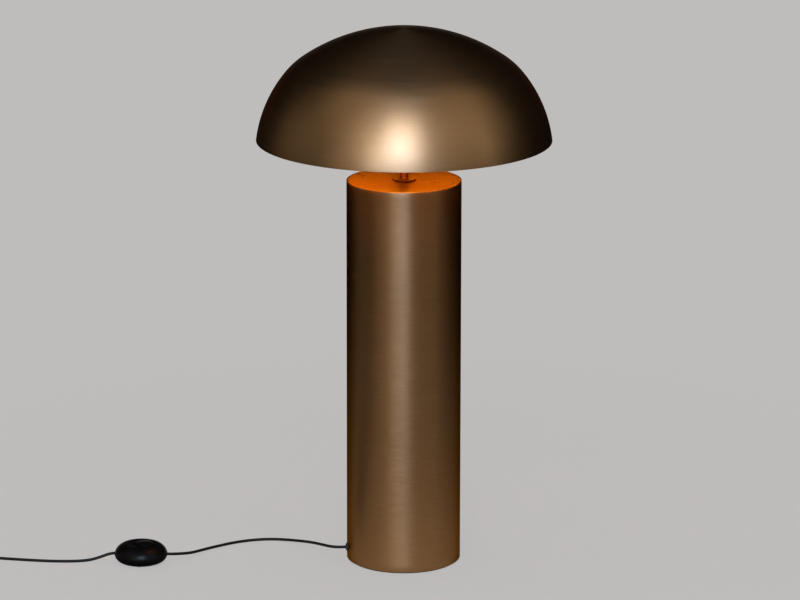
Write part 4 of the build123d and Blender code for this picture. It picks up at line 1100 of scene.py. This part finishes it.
# ---- studio
@dataclass(frozen=True)
class Paper(Finish):
    """The floor's paper: the room's own tone to the eye, less a soft shadow by the lamp.

    In the gloss it is a painted warm glow near the lamp, a pool of painted light with a
    painted shadow round the foot switch, and dark past its edge.
    """

    edge: float = 1.35
    tints: tuple[Colour, Colour] = ((0.50, 0.49, 0.485), (0.53, 0.52, 0.51))
    fibre: Field = Field(300.0, 3.0, 0.6)
    shadow: float = 0.16
    shadow_start: float = 0.2
    warm: Colour = (0.57, 0.47, 0.37)
    dark: Colour = (0.006, 0.006, 0.006)
    wide_painted_glow: float = 0.42
    near_painted_glow: float = 0.36
    near_edge: tuple[float, float] = (0.5, 0.15)
    switch: tuple[float, float] = Lead.switch
    switch_painted_shadow: float = 0.15
    switch_shadow_edge: tuple[float, float] = (0.06, 0.14)

    def shader(self, g: Graph) -> Wire:
        """Return the paper's shader.

        Args:
            g: the material's graph.

        Returns:
            The shader.
        """
        x, y, _ = g.split(g.place())
        out = (x * x + y * y) ** 0.5
        ray = g.rays()
        glossy = ray["Is Glossy Ray"]
        clear = (ray["Is Camera Ray"] + ray["Is Transmission Ray"]).clamped()
        # Glossy rays see a painted pool of warm light, dimmed by a painted shadow round the foot
        # switch.
        wide = self.wide_painted_glow * out.rise(self.edge, self.edge / 2)
        near = wide + self.near_painted_glow * out.rise(*self.near_edge)
        from_switch = ((x - self.switch[0]) ** 2.0 + (y - self.switch[1]) ** 2.0) ** 0.5
        open_share = (1.0 - self.switch_painted_shadow) * from_switch.rise(*self.switch_shadow_edge)
        seen = (clear + glossy * near * (self.switch_painted_shadow + open_share)).clamped()
        fibre = g.mix(g.noise(g.place(), self.fibre), *self.tints)
        diffuse = g.add("ShaderNodeBsdfDiffuse", {}, {"Color": fibre})
        glow, dark = (
            g.add("ShaderNodeEmission", {}, {"Color": tone})
            for tone in (g.mix(glossy, PAPER, self.warm), self.dark)
        )
        light = 1.0 - self.shadow * out.rise(self.edge, self.shadow_start)
        sight = g.blend(light, diffuse, glow)
        return g.blend(seen, g.blend(glossy, diffuse, dark), sight)


def towards(azimuth: float, elevation: float) -> Vector:
    """Return where a place is: degrees right of straight in front, and above the horizon."""
    a, e = math.radians(azimuth), math.radians(elevation)
    return Vector((math.sin(a) * math.cos(e), -math.cos(a) * math.cos(e), math.sin(e)))


@dataclass(frozen=True)
class Softbox:
    """A soft rectangular lamp of the studio."""

    name: str
    azimuth: float
    elevation: float
    width: float
    height: float
    watts: float
    tint: Colour
    aim: Point = (0.0, 0.0, 0.55)
    distance: float = 2.6

    def build(self) -> bpy.types.Object:
        """Make the lamp, turned so that its face looks at its aim.

        Returns:
            The object.
        """
        light = bpy.data.lights.new(self.name, "AREA")
        light.shape = "RECTANGLE"
        light.size, light.size_y = self.width, self.height
        light.energy = self.watts
        light.color = self.tint
        made = placed(self.name, light)
        away = towards(self.azimuth, self.elevation)
        made.location = Vector(self.aim) + away * self.distance
        made.rotation_euler = (-away).to_track_quat("-Z", "Y").to_euler()
        return made


@dataclass(frozen=True)
class Glow:
    """A soft patch of light on the room's walls, as the metal reflects it."""

    azimuth: float
    elevation: float
    strength: float
    reach: float = 34.0
    core: float = 4.0

    def patch(self, g: Graph, look: Wire) -> Wire:
        """Return the patch's strength where a ray looks: a smooth step of the angle's cosine.

        Args:
            g: the world's graph.
            look: the ray's direction.

        Returns:
            The strength.
        """
        axis = tuple(towards(self.azimuth, self.elevation))
        settings = {"operation": "DOT_PRODUCT"}
        cosine = g.add("ShaderNodeVectorMath", settings, {0: look, 1: axis}, "Value")
        edges = (math.cos(math.radians(a)) for a in (self.reach, self.core))
        return self.strength * cosine.rise(*edges)


@dataclass
class Studio:
    """A pale paper floor, soft lamps, a dim room and the camera."""

    eye: Point = (-0.1262, -5.8020, 1.8743)
    down: float = 0.2361
    aside: float = 0.0068
    tilt: float = -0.0018
    lens: float = 198.1
    sensor: float = 36.0
    far_clip: float = 60.0
    shift: tuple[float, float] = (0.075, -0.1)
    floor_reach: float = 4.0
    floor_rings: int = 20
    floor_sides: int = 96
    floor_drop: float = 0.0001
    behind: tuple[tuple[float, float], ...] = ((0.8, 0.97), (0.12, 0.03), (-0.06, 0.0))
    room_gloss: tuple[Colour, Colour] = ((0.006, 0.005, 0.005), (1.10, 0.96, 0.74))
    room_light: Colour = (0.75, 0.745, 0.74)
    bulb_watts: float = 2.0
    bulb_tint: Colour = (1.0, 0.50, 0.02)
    bulb_size: float = 0.028
    bulb_height: float = 0.667
    boxes: tuple[Softbox, ...] = (
        Softbox("key", -3.0, 30.0, 1.0, 1.2, 16.5, (0.91, 1.05, 1.28)),
        Softbox("low_key", -8.5, 14.0, 1.7, 0.5, 12.5, (0.90, 1.06, 1.32)),
        Softbox("core", -4.0, 20.0, 0.6, 0.6, 3.2, (0.40, 1.05, 2.9)),
        Softbox("strip", 66.0, 14.0, 0.22, 1.5, 0.8, (1.0, 0.95, 0.85)),
    )
    walls: tuple[Glow, ...] = tuple(
        Glow(*row) for row in (
            (-95.0, 8.0, 0.16), (-38.0, 8.0, 0.43), (38.0, 8.0, 0.23), (65.0, 8.0, 0.07),
            (-75.0, 30.0, 0.04), (-15.0, 30.0, 0.64), (15.0, 30.0, 0.24),
            (45.0, 30.0, 0.09), (75.0, 30.0, 0.16), (-60.0, 52.0, 0.31), (60.0, 52.0, 0.27),
        )
    )

    def camera(self) -> bpy.types.Object:
        """Make the camera: its axes come from a downward and a sideways turn.

        Returns:
            The object.
        """
        data = bpy.data.cameras.new("camera")
        data.lens = self.lens
        data.sensor_width = self.sensor
        data.shift_x, data.shift_y = self.shift
        data.clip_end = self.far_clip
        ahead = Vector((
            math.sin(self.aside) * math.cos(self.down),
            math.cos(self.aside) * math.cos(self.down),
            -math.sin(self.down),
        ))
        right = Vector((math.cos(self.aside), -math.sin(self.aside), 0.0))
        up = right.cross(ahead)
        c, s = math.cos(self.tilt), math.sin(self.tilt)
        right, up = c * right + s * up, c * up - s * right
        made = placed("camera", data)
        turn = Matrix((right, up, -ahead)).transposed()
        made.matrix_world = Matrix.Translation(Vector(self.eye)) @ turn.to_4x4()
        bpy.context.scene.camera = made
        return made

    def floor(self) -> bpy.types.Object:
        """Make the paper: a flat disc that keeps the shadow and fades into the room.

        Returns:
            The object.
        """
        count = self.floor_rings * self.floor_sides
        t = 2 * np.pi * np.arange(self.floor_sides) / self.floor_sides
        rings = np.linspace(0.0, self.floor_reach, self.floor_rings + 1)[1:, None]
        points = [rings * np.cos(t), rings * np.sin(t), 0 * rings * t - self.floor_drop]
        points = np.stack(points, axis=-1).reshape(-1, 3)
        points = np.vstack([points, [[0.0, 0.0, -self.floor_drop]]])
        index = np.arange(count).reshape(self.floor_rings, self.floor_sides)
        faces = ring_quads(index).tolist() + fan(count, index[0]).tolist()
        mesh = bpy.data.meshes.new("paper_floor")
        mesh.from_pydata(points, [], faces)
        mesh.materials.append(dress(Paper("paper")))
        made = placed("paper_floor", mesh)
        return made

    def room(self) -> None:
        """Set the world: the paper's tone to the eye, a dim room in the gloss.

        A glossy look low behind the lamp meets the paper's tone too, and the walls' soft
        patches stand everywhere else.
        """
        world = bpy.data.worlds.new("room")
        world.use_nodes = True
        bpy.context.scene.world = world
        g = Graph(world.node_tree)
        ray = g.rays()
        look = g.add("ShaderNodeTexCoord", {}, {}, "Generated")
        _, y, z = g.split(look)
        far, above, below = self.behind
        behind = y.rise(*far) * z.rise(*above) * z.rise(*below)
        straight = ray["Is Camera Ray"] + ray["Is Transmission Ray"]
        seen = (straight + ray["Is Glossy Ray"] * behind).clamped()
        first, *others = (wall.patch(g, look) for wall in self.walls)
        glossy = g.mix(sum(others, first).clamped(), *self.room_gloss)
        light = g.mix(ray["Is Diffuse Ray"], glossy, self.room_light)
        colour = {"Color": g.mix(seen, light, PAPER), "Strength": 1.0}
        g.show(g.add("ShaderNodeBackground", {}, colour), "ShaderNodeOutputWorld")

    def bulb_light(self) -> bpy.types.Object:
        """Make the warm light that the bulb throws.

        Returns:
            The object.
        """
        light = bpy.data.lights.new("bulb_light", "POINT")
        light.energy = self.bulb_watts
        light.color = self.bulb_tint
        light.shadow_soft_size = self.bulb_size
        made = placed("bulb_light", light)
        made.location = (0.0, 0.0, self.bulb_height)
        return made

    def build(self) -> None:
        """Build the whole studio."""
        self.floor()
        self.room()
        for box in self.boxes:
            box.build()
        self.bulb_light()
        self.camera()
        bpy.context.scene.view_settings.view_transform = "Standard"


# ---- carried nodes
def dress_nodes() -> None:
    """Give every CAD node that still shows the finish of its slot."""
    # The plate and the disc get a painted orange glow, and the sleeve and the spacer a painted shadow.
    special = {"top_plate": PLATE, "stem_disc": DISC, "stem_sleeve": PAINTED_SHADOW_SLEEVE, "stem_spacer": PAINTED_SHADOW_SLEEVE}
    slots = {s["node"]: s["material_slot"] for s in frame["record"]["subparts"]}
    for name, node in frame["nodes"].items():
        material = dress(special.get(name, SLOT_FINISH[slots[name]]))
        node.data.materials.clear()
        node.data.materials.append(material)
        LOG.info("%s wears %s", name, material.name)


def main() -> None:
    """Build the lamp and its studio, and report each piece."""
    logging.basicConfig(level=logging.INFO, format="%(name)s: %(message)s")
    Studio().build()
    Lead().build(PressSpring().build())
    dress_nodes()
    for part in (Shade(), Column(), Bulb()):
        part.build()
        LOG.info("%s built", type(part).__name__)


if __name__ == "__main__":
    main()
